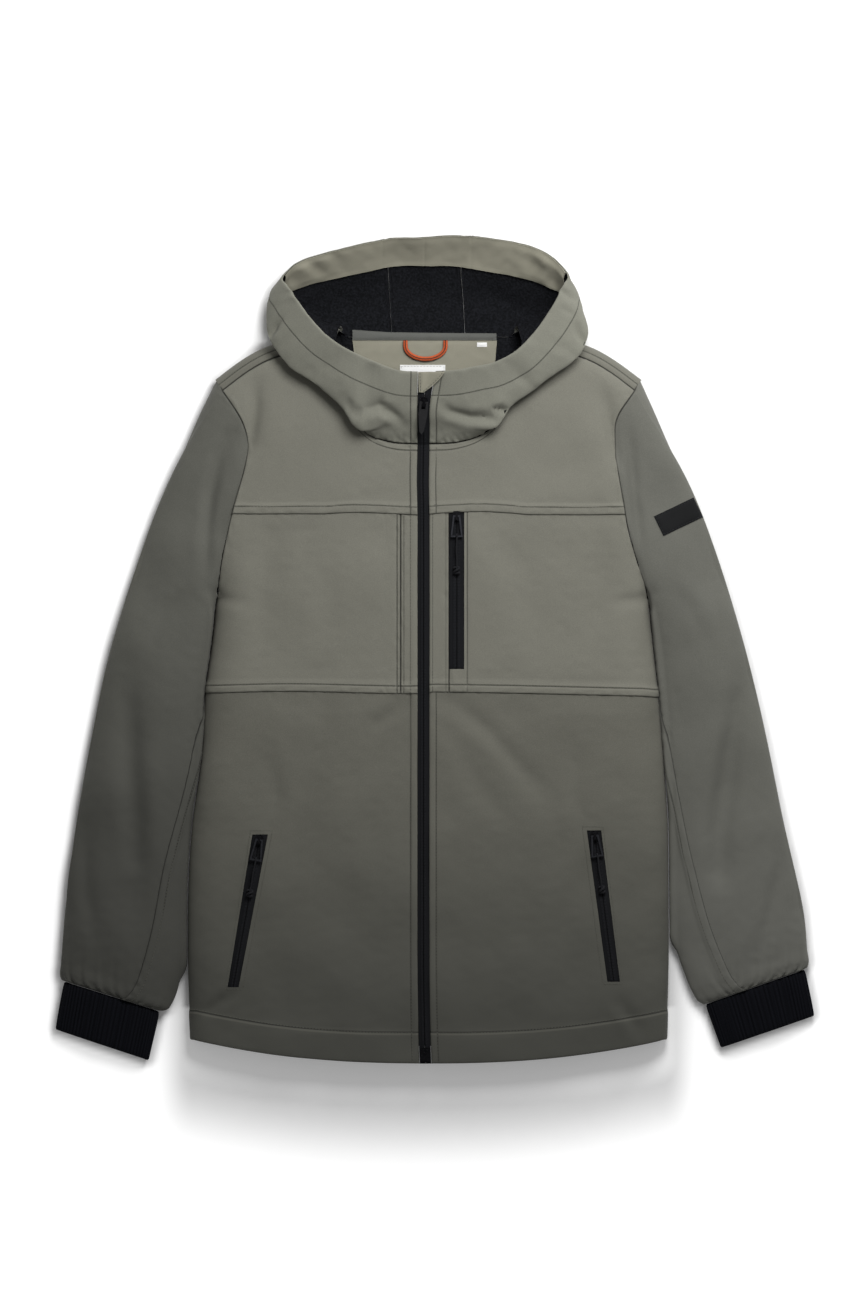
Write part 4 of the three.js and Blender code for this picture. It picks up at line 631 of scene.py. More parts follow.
# %% A finish, and the masks that cloth needs
class Finish:
    def __init__(self, name, roughness=0.85, **constants):
        self.material = bpy.data.materials.new(name)
        self.material.use_nodes = True
        self.tree = self.material.node_tree
        self.shader = self.tree.nodes["Principled BSDF"]
        self.shader.inputs["Roughness"].default_value = roughness
        for key, value in constants.items():
            self.shader.inputs[key.replace("_", " ")].default_value = value

    def node(self, kind, settings=None, inputs=None, output=0):
        made = self.tree.nodes.new("ShaderNode" + kind)
        for key, value in (settings or {}).items():
            setattr(made, key, value)
        for key, value in (inputs or {}).items():
            self.feed(made.inputs[key], value)
        return Socket(self, made.outputs[output])

    def feed(self, socket, value):
        if isinstance(value, Socket):
            self.tree.links.new(value.link, socket)
        else:
            socket.default_value = value

    def sum(self, operation, first, second):
        return self.node("Math", {"operation": operation}, {0: first, 1: second})

    def place(self):
        return self.node("TexCoord", output="Object")

    def axis(self, key):
        return self.node("SeparateXYZ", None, {0: self.place()}, key)

    def measure(self, name):
        return self.node("Attribute", {"attribute_name": name}, output="Fac")

    def noise(self, scale, detail=2.0, stretch=(1, 1, 1)):
        spread = self.node("VectorMath", {"operation": "MULTIPLY"}, {0: self.place(), 1: stretch})
        return self.node("TexNoise", None, {"Vector": spread, "Scale": scale, "Detail": detail}, "Fac")

    def ramp(self, value, low, high):
        """0 below `low`, 1 above `high` and smooth between."""
        settings = {"interpolation_type": "SMOOTHSTEP"}
        return self.node("MapRange", settings, {"Value": value, "From Min": low, "From Max": high})

    def blend(self, factor, first, second):
        inputs = {0: factor, 6: first, 7: second}
        return self.node("Mix", {"data_type": "RGBA", "clamp_factor": True}, inputs, 2)

    def colour(self, value):
        self.feed(self.shader.inputs["Base Color"], value)
        return self

    def rough(self, value):
        self.feed(self.shader.inputs["Roughness"], value)
        return self

    def bump(self, height, distance, strength=1.0):
        """`distance` is the relief's depth in metres for a height of 1."""
        inputs = {"Height": height, "Distance": distance, "Strength": strength}
        self.feed(self.shader.inputs["Normal"], self.node("Bump", None, inputs))
        return self


def tone(red, green, blue, gain=1.0):
    """A colour read off the photograph in 0 to 255, as the linear light that a shader wants."""
    linear = [((c / 255 + 0.055) / 1.055) ** 2.4 if c > 10 else c / 255 / 12.92 for c in (red, green, blue)]
    return tuple(gain * c for c in linear) + (1.0,)


print("olive grey is", [round(c, 3) for c in tone(122, 121, 111)])

# %% [markdown]
# ## The finishes
# Softshell is a fine melange cloth bonded to fleece. Up close it is a mix of lighter and darker fibres in a faint
# diagonal weave. Its colour is darkened in the seams and stitch grooves as painted shade, and lightened in a strip
# beside the hem, lap and neck stitch lines as a painted highlight. Distances to each seam and stitch line come
# with the mesh as `seam`, `line_a` and `line_b`, in millimetres, so that the groove under a row of stitches lies
# exactly under it.


# %% Softshell cloth
def softshell(name, colour, gain, painted_falloff=None):
    """The optional last argument is two heights on the jacket in metres and a tone for the lower one: painted
    shade that grades the colour by height.
    """
    finish = Finish(name, 0.82, Sheen_Weight=0.06, Sheen_Roughness=0.5, Specular_IOR_Level=0.25)
    fibre = finish.noise(2300, 2.0, (1, 0.45, 1)) * 0.6 + finish.noise(1700, 1.0, (0.5, 1.2, 1)) * 0.4
    cloud = finish.noise(16, 2.0)
    pale = finish.ramp(fibre + (cloud - 0.5) * 0.08, 0.3, 0.7)
    shade = finish.blend(pale, tone(*colour, gain * 0.88), tone(*colour, gain * 1.14))
    # Painted shade: below the lower height the colour fades to the set tone, standing in for the lamp's fall
    # towards the hem.
    if painted_falloff:
        low, high, dark = painted_falloff
        shade = finish.blend(finish.ramp(finish.axis("Y"), low, high), tone(*dark, gain), shade)
    # Painted shade: the colour is darkened in the stitch grooves and in the seams, where the cloth turns down.
    near = [1 - finish.ramp(finish.measure(key).size(), 0.2, 1.0) for key in ("line_a", "line_b")]
    groove = near[0].most(near[1])
    painted_seam_shade = 1 - finish.ramp(finish.measure("seam"), 0.1, 1.4)
    # Painted highlight: a pale strip just on the edge side of the hem, lap and neck stitch lines, where that
    # raised edge would catch the light.
    painted_ridge_highlight = 1 - finish.ramp((finish.measure("line_b") + 1.8).size(), 0.3, 1.5)
    shade = finish.blend(painted_ridge_highlight * 0.32, shade, tone(*colour, gain * 1.3))
    shade = finish.blend((groove * 0.6).most(painted_seam_shade * 0.72), shade, tone(26, 26, 24, gain))
    x, y = finish.axis("X"), finish.axis("Y")
    weave = ((x + y) * 7400).wave() * ((x - y) * 5200).wave()
    finish.colour(shade).rough(0.78 + fibre * 0.14)
    return finish.bump(fibre * 0.5 + weave * 0.16 - groove * 1.6, 0.00014, 0.7).material


SHELL = softshell("softshell", (122, 121, 111), 0.92)
# Painted shade: the lower fronts with the back, and each sleeve, are darker copies of this cloth, the right sleeve
# darker than the left, and the lower fronts and the right sleeve grade darker still downwards.
SHELL_LOWER_SHADED = softshell("softshell lower", (108, 107, 98), 0.92, (-0.40, -0.05, (84, 84, 78)))
SHELL_SLEEVE_SHADED = {"r": softshell("softshell right sleeve", (100, 100, 93), 0.9, (-0.26, 0.12, (78, 78, 73))),
                "l": softshell("softshell left sleeve", (104, 104, 97), 0.92, (-0.34, 0.0, (107, 107, 101)))}
SHELL_HOOD = softshell("softshell hood", (130, 130, 119), 0.83)


# %% Rib, fleece and plain woven trims
def rib_knit():
    finish = Finish("black rib", 0.9, Specular_IOR_Level=0.08)
    ridge = finish.measure("ridge")
    loops = (finish.measure("run") * (math.tau / 1.6)).wave() * 0.5 + 0.5
    grain = finish.noise(900, 2.0)
    # Painted shade: the valleys between the ribs take the darker tone, the ridges the lighter one.
    dark = finish.blend(ridge, tone(4, 4, 6), tone(15, 16, 21))
    finish.colour(finish.blend(grain * 0.3, dark, tone(26, 27, 33)))
    return finish.bump(loops * ridge * 0.6 + grain * 0.5, 0.0003, 0.7).material


def fleece():
    finish = Finish("black fleece", 0.95, Specular_IOR_Level=0.1)
    pile = finish.noise(520, 4.0)
    finish.colour(finish.blend(finish.ramp(pile, 0.3, 0.75), tone(12, 13, 15), tone(29, 30, 34)))
    return finish.bump(pile, 0.0009, 0.9).material


def woven(name, colour, dark, thread=0.0007, roughness=0.85, depth=0.0002):
    """Plain weave: two sets of threads over and under each other."""
    finish = Finish(name, roughness, Specular_IOR_Level=0.2)
    turn = math.tau / thread
    weave = (finish.axis("X") * turn).wave() * (finish.axis("Y") * turn).wave() * 0.5 + 0.5
    fibre = finish.noise(1600, 2.0)
    mixed = finish.blend(weave * 0.45 + fibre * 0.45, tone(*dark), tone(*colour))
    finish.colour(mixed).rough(roughness - 0.08 + fibre * 0.12)
    return finish.bump(weave * 0.6 + fibre * 0.4, depth, 0.8).material


RIB, FLEECE = rib_knit(), fleece()
FACING = woven("olive facing", (157, 154, 139), (122, 120, 106), 0.0011)
NECK_TAPE = woven("grey neck tape", (112, 113, 108), (76, 77, 75), 0.0013)
LABEL_CLOTH = woven("white label", (246, 246, 244), (222, 222, 221), 0.0006, 0.6, 0.0001)
BADGE_CLOTH = woven("black badge", (12, 13, 15), (5, 6, 7), 0.0008, 0.7)
CORD_CLOTH = woven("black cord", (34, 35, 39), (8, 8, 10), 0.0009, 0.7, 0.0003)
print("cloth finishes:", [m.name for m in bpy.data.materials][:12])


# %% Zip tape, thread, loop and metals
def zip_tape():
    finish = Finish("matte black tape", 0.8, Specular_IOR_Level=0.2)
    run, share = finish.measure("run"), finish.measure("across")
    off = (share - 0.5).size()
    coil = 1 - finish.ramp(off, 0.2, 0.28)
    teeth = (run * (math.tau / 1.5)).wave() * 0.5 + 0.5
    # Painted shade: the slit where the two tapes meet is darkened nearly to black.
    painted_slit_shade = 1 - finish.ramp(off, 0.015, 0.05)
    grain = finish.noise(1300, 2.0)
    shade = finish.blend(grain * 0.5 + coil * teeth * 0.35, tone(9, 10, 12), tone(26, 27, 32))
    finish.colour(finish.blend(painted_slit_shade * 0.7, shade, tone(2, 2, 3)))
    return finish.bump(coil * teeth + grain * 0.3 - painted_slit_shade * 1.5, 0.0003, 0.8).material


def thread(name, colour):
    finish = Finish(name, 0.7, Specular_IOR_Level=0.3)
    grain = finish.noise(2600, 1.0)
    finish.colour(finish.blend(grain, tone(*colour, 0.7), tone(*colour, 1.25)))
    return finish.bump(grain, 0.0001, 0.6).material


def metal(name, colour, worn, roughness, metallic):
    finish = Finish(name, roughness, Metallic=metallic)
    scuff = finish.ramp(finish.noise(420, 4.0), 0.5, 0.75)
    brushed = finish.noise(900, 2.0, (1, 0.15, 1))
    finish.colour(finish.blend(scuff * 0.5, tone(*colour), tone(*worn)))
    finish.rough(roughness - 0.06 + brushed * 0.16)
    return finish.bump(brushed * 0.5 + scuff * 0.3, 0.00004, 0.5).material


def loop_cloth():
    finish = Finish("orange loop", 0.8, Sheen_Weight=0.2)
    share, run = finish.measure("across"), finish.measure("run")
    off = (share - 0.25).size()
    middle = (1 - finish.ramp(off, 0.02, 0.05)).most(finish.ramp(off, 0.17, 0.21))
    braid = ((run + share * 5) * (math.tau / 1.5)).wave() * 0.5 + 0.5
    orange = finish.blend(braid * 0.7, tone(168, 66, 24), tone(228, 106, 44))
    finish.colour(finish.blend(middle * 0.9, orange, tone(40, 24, 20)))
    return finish.bump(braid - middle, 0.0003, 0.8).material


ZIP_TAPE, LOOP_CLOTH = zip_tape(), loop_cloth()
THREAD = thread("tone thread", (92, 92, 84))
THREAD_DARK = thread("black thread", (30, 31, 34))
THREAD_PALE = thread("pale thread", (200, 200, 196))
BLACK_METAL = metal("painted slider", (20, 20, 23), (52, 52, 56), 0.36, 0.8)
SILVER = metal("gunmetal ring", (70, 71, 76), (36, 37, 40), 0.32, 1.0)
BLACK_TAB = metal("rubber tab", (18, 18, 20), (34, 34, 37), 0.55, 0.0)
print("finishes in all:", len(bpy.data.materials))

# %% [markdown]
# ## Soft folds
# Cloth that lies flat never lies quite flat. The main creases are placed where the photograph shows them,
# as soft troughs with a raised lip on one side. Gentle waves of several sizes, always the same ones, keep the rest
# from looking ironed. These depend on the place in plan alone, so that they run on across the seams.

# %% Creases and gentle waves
Fold = namedtuple("Fold", "points width depth lip")
LIP_PLACE, LIP_WIDTH, LIP_SHARE, LIP_REACH = 1.7, 1.1, 0.6, 3  # in widths of the fold, but for the share
FRONT_FOLDS = [
    Fold([(-173, 268), (-172.5, 240), (-177, 214), (-184, 186)], 6.0, 3.4, 1.6),
    Fold([(-183, 219), (-200, 211), (-209.5, 192), (-217.5, 156), (-221.5, 112), (-222, 70)], 6.5, 3.8, 1.8),
    Fold([(174, 262), (179, 234), (186, 196), (187, 170)], 6.0, 3.0, 1.4),
    Fold([(199, 228), (203, 188), (206, 150), (213, 92)], 5.5, 3.0, -1.6),
    Fold([(318, -2), (305, -76), (296, -139), (290, -185), (294, -252)], 13, 6.0, 3.6),
    Fold([(354, -180), (350, -225), (338, -278), (328, -311)], 9, 3.6, 2.0),
    Fold([(-300, -20), (-298, -100), (-294, -165), (-292, -232)], 13, 4.8, -3.0),
    Fold([(-345, -160), (-342, -240), (-331, -300)], 10, 3.2, 1.8),
    Fold([(262, 150), (278, 96), (292, 30)], 16, 1.8, 1.0),
    Fold([(-258, 150), (-276, 96), (-292, 30)], 16, 1.8, -1.0),
    Fold([(9, -46), (30, -58), (62, -84), (122, -152)], 9, 2.4, 1.4),
    Fold([(15, -66), (40, -118), (92, -190)], 13, 1.7, 0.9),
    Fold([(-16, -46), (-32, -60), (-58, -80)], 9, 2.2, 1.2),
    Fold([(-104, -60), (-118, -130), (-150, -190)], 16, 2.2, -1.6),
    Fold([(-232, 60), (-262, 38), (-284, -14)], 8, 1.2, 0.7),
    Fold([(236, 66), (262, 40), (284, -8)], 8, 1.2, -0.7),
    Fold([(165, -205), (140, -255), (128, -300)], 13, 1.7, 1.0),
    Fold([(186, -345), (202, -368), (214, -386)], 7, 1.7, 1.0),
    Fold([(158, -182), (146, -150), (150, -100)], 10, 1.7, -1.1),
    Fold([(-160, -186), (-150, -150), (-160, -104)], 9, 1.6, 1.1),
    Fold([(-192, -342), (-208, -352), (-226, -366)], 6, 2.0, 1.2),
    Fold([(-226, 62), (-206, 50), (-180, 44)], 6, 1.6, 1.0),
    Fold([(232, 60), (212, 50), (184, 46)], 6, 1.6, 1.0),
    Fold([(-158, 128), (-166, 60), (-158, -4)], 19, 2.8, -1.6),
    Fold([(166, 122), (174, 60), (166, 0)], 18, 2.2, 1.2),
    Fold([(60, 126), (92, 78), (104, 20)], 16, 1.4, 0.8),
    Fold([(-64, 122), (-98, 66), (-112, 2)], 16, 1.3, -0.8)]
HOOD_FOLDS = [
    Fold([(13, 243), (23, 235), (41, 230), (66, 229.5), (76, 237)], 5.2, 6.4, 3.2),
    Fold([(62, 238), (72, 238.5), (80, 236)], 3.2, 5.5, 1.2),
    Fold([(-66, 237), (-49, 242), (-38, 235), (-24, 224)], 5.5, 5.4, 3.0),
    Fold([(-69, 266), (-56, 277), (-48, 275)], 6.0, 2.2, 1.2),
    Fold([(-84, 250), (-77, 238), (-66, 232)], 5.0, 2.6, -2.0),
    Fold([(-160, 309), (-156, 316), (-148, 328)], 3.4, 4.2, 1.8),
    Fold([(159, 300), (152, 312), (147, 326)], 3.4, 2.8, 1.4),
    Fold([(-148, 352), (-135, 356), (-118, 371)], 3.2, 1.6, 1.2),
    Fold([(-152, 341), (-141, 346), (-134, 344)], 3.0, 1.4, 0.9),
    Fold([(150, 348), (137, 353), (120, 368)], 3.2, 1.6, 1.2),
    Fold([(146, 332), (137, 338), (128, 337)], 3.0, 1.4, 0.9),
    Fold([(-118, 262), (-104, 280), (-88, 290)], 6, 1.2, 0.9),
    Fold([(112, 250), (98, 268), (84, 280)], 6, 1.2, 0.9),
    Fold([(-150, 300), (-134, 312), (-120, 314)], 5, 1.1, 0.7),
    Fold([(150, 290), (134, 302), (120, 306)], 5, 1.1, 0.7)]
BACK_FOLDS = [
    Fold([(-150, 210), (-120, 120), (-130, 20)], 12, 1.3, 0),
    Fold([(150, 205), (118, 116), (126, 10)], 12, 1.3, 0),
    Fold([(-20, 190), (10, 90), (-16, -20)], 14, 0.9, 0),
    Fold([(-170, -90), (-120, -190), (-128, -300)], 13, 1.1, 0),
    Fold([(168, -80), (126, -180), (140, -310)], 13, 1.1, 0),
    Fold([(-60, -120), (0, -150), (70, -128)], 12, 0.8, 0),
    Fold([(-270, 30), (-292, -80), (-296, -220)], 9, 1.2, 0),
    Fold([(272, 26), (296, -90), (300, -230)], 9, 1.2, 0)]


def fold_relief(folds, x, y):
    total = np.zeros(x.shape)
    for fold in folds:
        points = np.array(fold.points, float)
        runs = np.diff(points, axis=0)
        sizes = np.linalg.norm(runs, axis=1)
        starts = np.concatenate([[0], np.cumsum(sizes)])
        best = np.full(x.shape, np.inf)
        signed, share = np.zeros(x.shape), np.zeros(x.shape)
        for k, (run, size) in enumerate(zip(runs, sizes)):
            away_x, away_y = x - points[k, 0], y - points[k, 1]
            along = np.clip((away_x * run[0] + away_y * run[1]) / size**2, 0, 1)
            away = np.hypot(away_x - along * run[0], away_y - along * run[1])
            nearer = away < best
            best = np.where(nearer, away, best)
            signed = np.where(nearer, np.sign(away_x * run[1] - away_y * run[0]) * away, signed)
            share = np.where(nearer, (starts[k] + along * size) / starts[-1], share)
        taper = np.sin(np.pi * np.clip(share, 0.02, 0.98)) ** 0.7
        trough = -np.exp(-((best / fold.width) ** 2))
        edge = math.copysign(LIP_PLACE, fold.lip) * fold.width
        lip = abs(fold.lip) / fold.depth * np.exp(-(((signed - edge) / (LIP_WIDTH * fold.width)) ** 2))
        lip = LIP_SHARE * lip * np.exp(-((best / (LIP_REACH * fold.width)) ** 2))
        total += fold.depth * taper * (trough + lip)
    return total


def waves(seed, size, count=26):
    rng = np.random.default_rng(seed)
    angle, phase = rng.uniform(0, math.tau, count), rng.uniform(0, math.tau, count)
    rate = math.tau / (size * rng.uniform(0.7, 1.6, count))

    def field(x, y):
        parts = [np.sin(r * (x * math.cos(a) + y * math.sin(a)) + p) for a, p, r in zip(angle, phase, rate)]
        return sum(parts) / math.sqrt(count / 2)
    return field


BROAD, MIDDLE, SMALL, PUCKER = waves(3, 95), waves(5, 34), waves(8, 13), waves(11, 7.5)
print("creases:", len(FRONT_FOLDS), "front,", len(HOOD_FOLDS), "hood,", len(BACK_FOLDS), "back")

# %% [markdown]
# ## A panel of cloth
# Every panel is one grid of points over its surface, finer near its edges, where the seam turns the cloth down.
# The same grid moved inwards is its lining, and a rim joins the two. Each point keeps its distance to the seams
# and to the stitch lines, which the finishes read, and which later say where the real stitches go.


# %% Stops along an edge
NEAR = (0.5, 1.3, 2.3, 3.5, 4.7, 6.5)
CLOSE, CLOSER, TRIM_NEAR = NEAR[:3], NEAR[:4], (0.4, 1, 1.6)


def stops(length, pitch, start=0.0, end=1.0, near=(NEAR, NEAR)):
    """Places from `start` to `end`, even in the middle and set in mm by `near` beside the two edges."""
    first = [d / length for d in near[0] if d < 0.4 * length]
    last = [1 - d / length for d in near[1] if d < 0.4 * length][::-1]
    low, high = (first or [0])[-1], (last or [1])[0]
    count = max(2, round((high - low) * length / pitch))
    inner = np.linspace(low, high, count + 1)
    every = np.unique(np.concatenate([[0.0], first, inner, last, [1.0]]).round(7))
    keep = np.concatenate([[True], np.diff(every) > 0.12 / length])
    keep[-1] = True
    return start + (end - start) * every[keep]


def joined(*lists):
    return np.concatenate([part if k == 0 else part[1:] for k, part in enumerate(lists)])


def unit(vectors):
    return vectors / np.maximum(np.linalg.norm(vectors, axis=-1, keepdims=True), 1e-9)


# %% One mesh from points and faces
def make_mesh(name, points, faces, materials, face_material=None, measures=None, sharp=40):
    mesh = bpy.data.meshes.new(name)
    points = np.asarray(points, np.float32) * METRE
    faces = np.asarray(faces, np.int32)
    sides = faces.shape[1]
    mesh.vertices.add(len(points))
    mesh.vertices.foreach_set("co", points.ravel())
    mesh.loops.add(faces.size)
    mesh.loops.foreach_set("vertex_index", faces.ravel())
    mesh.polygons.add(len(faces))
    mesh.polygons.foreach_set("loop_start", np.arange(0, faces.size, sides, dtype=np.int32))
    if face_material is not None:
        mesh.polygons.foreach_set("material_index", np.asarray(face_material, np.int32))
    mesh.update(calc_edges=True)
    for key, values in (measures or {}).items():
        mesh.attributes.new(key, "FLOAT", "POINT").data.foreach_set("value", np.asarray(values, np.float32))
    mesh.shade_smooth()
    mesh.set_sharp_from_angle(angle=math.radians(sharp))
    for material in materials:
        mesh.materials.append(material)
    made = bpy.data.objects.new(name, mesh)
    bpy.context.collection.objects.link(made)
    return made


# %% The panel maker
EDGES = ("start", "end", "bottom", "top")
Panel = namedtuple("Panel", ("points", "normals") + EDGES)
PANELS, FAR, NARROWEST = {}, 99.0, 0.0102
TURN_REACH, TURN_POWER, GROOVE_DEPTH, GROOVE_WIDTH, THINNED = 2.4, 2.2, 0.34, 0.9, 9


def lengths_along(points, axis):
    steps = np.linalg.norm(np.diff(points, axis=axis), axis=-1)
    return np.concatenate([np.zeros_like(np.take(steps, [0], axis)), np.cumsum(steps, axis=axis)], axis=axis)


def quad_corners(index):
    return index[:-1, :-1], index[:-1, 1:], index[1:, 1:], index[1:, :-1]


def grid_faces(shape):
    index = np.arange(shape[0] * shape[1]).reshape(shape[:2])
    return np.stack(quad_corners(index), -1).reshape(-1, 4)


def grid_normals(points, outward, closed):
    if closed:
        padded = np.concatenate([points[:, -2:-1], points, points[:, 1:2]], axis=1)
        along = padded[:, 2:] - padded[:, :-2]
    else:
        along = np.gradient(points, axis=1)
    return unit(outward * np.cross(along, np.gradient(points, axis=0)))


def cloth_panel(name, surface, u, v, outward, materials, wall=1.2, closed=False, seams="start end bottom top",
                line_a=None, line_b=None, relief=None, skip=None, lift=0.0, node=None, slot="shell",
                cut=None, body="jacket", roll=0.9, gap=0.15, sharp=60, lap=None, thin=None):
    grid_u, grid_v = np.meshgrid(u, v)
    points = surface(grid_u.ravel(), grid_v.ravel()).reshape(len(v), len(u), 3)
    normals = grid_normals(points, outward, closed)
    normals[:2], normals[-2:] = normals[2], normals[-3]
    if not closed:
        normals[:, :2], normals[:, -2:] = normals[:, 2:3], normals[:, -3:-2]
    along, up = lengths_along(points, 1), lengths_along(points, 0)
    away = {"start": along, "end": along[:, -1:] - along, "bottom": up, "top": up[-1:] - up}
    seam = np.min([away[edge] for edge in seams.split()] + [np.full(along.shape, FAR)], axis=0)
    free = np.min([away[edge] for edge in away if not (closed and edge in ("start", "end"))], axis=0)
    turn = np.clip(1 - free / TURN_REACH, 0, 1)
    move = lift - roll * turn**TURN_POWER
    if relief is not None:
        move = move + relief(points, normals, away, seam)
    line_a, line_b = (FAR if made is None else made(away, points) for made in (line_a, line_b))
    for line in (line_a, line_b):
        move = move - GROOVE_DEPTH * np.exp(-np.minimum(np.abs(line) / GROOVE_WIDTH, 9) ** 2)
    if lap:
        move = move + lapped(away, lap)
    wall = wall * (1 if thin is None else np.clip(away[thin] / THINNED, 0.12, 1)[..., None])
    centre = points.copy()
    for axis, here, beside in ((1, 0, 1), (1, -1, -2), (0, 0, 1), (0, -1, -2)):
        if not (closed and axis == 1):
            a, b = np.take(centre, here, axis), np.take(centre, beside, axis)
            points[(slice(None), here) if axis else here] = a + unit(b - a) * gap
    outer = points + normals * move[..., None]
    outer[..., 2] = np.maximum(outer[..., 2], 0)
    inner = outer - normals * wall
    inner[..., 2] = np.maximum(inner[..., 2], 0.0)
    rows, cols = len(v) - 1, len(u) - 1
    there = np.ones((rows, cols), bool)
    if skip is not None:
        cell_u, cell_v = np.meshgrid((u[1:] + u[:-1]) / 2, (v[1:] + v[:-1]) / 2)
        there = ~skip(cell_u, cell_v)
    wide = len(u) - 1 if closed else len(u)
    index = np.arange(len(v))[:, None] * wide + (np.arange(len(u)) % wide)[None, :]
    a, b, c, d = quad_corners(index)
    below = len(v) * wide
    quads = [np.stack([a, b, c, d], -1)[there], np.stack([a, d, c, b], -1)[there] + below]
    padded = np.pad(there, 1)
    if closed:
        padded[1:-1, 0], padded[1:-1, -1] = there[:, -1], there[:, 0]
    for (p, q), (di, dj) in (((a, b), (-1, 0)), ((b, c), (0, 1)), ((c, d), (1, 0)), ((d, a), (0, -1))):
        rim = there & ~padded[1 + di:rows + 1 + di, 1 + dj:cols + 1 + dj]
        quads.append(np.stack([p, p + below, q + below, q], -1)[rim])
    faces = np.concatenate(quads)
    if outward < 0:
        faces = faces[:, ::-1]
    lining = 1 if len(materials) > 1 else 0
    kind = np.concatenate([np.full(len(part), lining if k == 1 else 0) for k, part in enumerate(quads)])
    flat = lambda grid: grid[:, :wide].reshape(-1, *grid.shape[2:])
    body_points = np.concatenate([flat(outer), flat(inner)])
    fill = lambda grid: np.tile(flat(np.broadcast_to(grid, along.shape)), 2)
    measures = {"seam": fill(seam), "run": fill(up), "across": fill(grid_u),
                "line_a": fill(line_a), "line_b": fill(line_b)}
    used = np.unique(faces)
    renumber = np.zeros(len(body_points), int)
    renumber[used] = np.arange(len(used))
    measures = {key: values[used] for key, values in measures.items()}
    piece = make_mesh(name, body_points[used], renumber[faces], materials, kind, measures, sharp)
    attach(piece, body)
    if node:
        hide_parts(node)
    PANELS[name] = Panel(outer, normals, *(away[edge] for edge in EDGES))
    corner = outer[:-1, :-1]
    area = np.linalg.norm(np.cross(outer[:-1, 1:] - corner, outer[1:, :-1] - corner), axis=-1)
    area = float(area[there].sum()) * METRE**2
    return piece


# %% Relief that most panels share
def lines(*places):
    """Distance to the nearest of several stitch lines, each given as an edge and how far in from it."""
    return lambda away, points: np.clip(
        np.min([np.abs(away[edge] - far) for edge, far in places], axis=0), 0, 4)


def inside(distance, *edges):
    """How far in from a line that keeps one distance from some edges, less than 0 outside it."""
    return lambda away, points: np.min([away[edge] for edge in edges], axis=0) - distance


LAP, LAP_BAND, LAP_LIFT = 4.0, 8.0, 1.35


def lapped(away, edge):
    """A panel that is folded under and stitched over its neighbour stands proud along that edge."""
    return LAP_LIFT * (1 - smoothstep(away[edge], LAP_BAND + 0.6, LAP_BAND + 4.5))


def body_relief(folds, broad=0.7, gathers=None):
    def relief(points, normals, away, seam):
        x, y = points[..., 0], points[..., 1]
        facing = smoothstep(np.abs(normals[..., 2]), 0.25, 0.7)
        loose = broad * BROAD(x, y) + 0.17 * MIDDLE(x, y) + 0.08 * SMALL(x, y)
        pulled = 0.42 * PUCKER(x, y) * np.exp(-seam / 5.5) * np.clip(seam / 1.5, 0, 1)
        move = facing * (fold_relief(folds, x, y) + loose * np.clip(seam / 22, 0.35, 1)) + pulled
        return move + (gathers(points, away) if gathers else 0)
    return relief


def under_relief(points, normals, away, seam):
    """The side on the table keeps its flat rest, and lifts a little along its creases."""
    x, y = points[..., 0], points[..., 1]
    rise = fold_relief(BACK_FOLDS, x, y) - 0.35 * np.clip(BROAD(x + 200, y), 0, 3)
    return np.minimum(rise, 0)


FRONT_RELIEF = body_relief(FRONT_FOLDS)

# %% [markdown]
# ## Front panels
# Each front has a lower panel with the hand pocket's slot, a chest panel, a narrow strip beside the zip and a
# yoke. The knots at the slot follow the pocket's own edges, so the opening needs no cutting.

# %% Lower fronts, chests, strips and yokes
PLACKET, HEM_STITCH, NECK_BAND, SEAM_ROW, CHEST_ZIP_ROW = 7.0, 29.0, 6.5, 3.5, 18.2


def hem_line(away, points):
    return away["bottom"] - (HEM_STITCH + 2.5 * (1 - np.abs(points[..., 0]) / HALF_CHEST))


def stood_up(place, hem=False):
    """The zip facing and the turned-up hem are double cloth, so they stand a little proud of the rest."""
    def relief(points, normals, away, seam):
        raised = 0.55 * (1 - smoothstep(away["start"] - place, -1.2, 1.2))
        if hem:
            raised = np.maximum(raised, 0.9 * (1 - smoothstep(hem_line(away, points), -1.2, 1.4)))
        return FRONT_RELIEF(points, normals, away, seam) + raised
    return relief


def in_slot(low, high, left=SLOT_START, right=SLOT_STOP):
    return lambda u, v: (u > left) & (u < right) & (v > low) & (v < high)


def neck_line(away, points):
    """Only the neck part of the yoke's top edge has a stitched band, so it fades out past the shoulder point."""
    return away["top"] - NECK_BAND + 30 * smoothstep(np.abs(points[..., 0]), 92, 104)


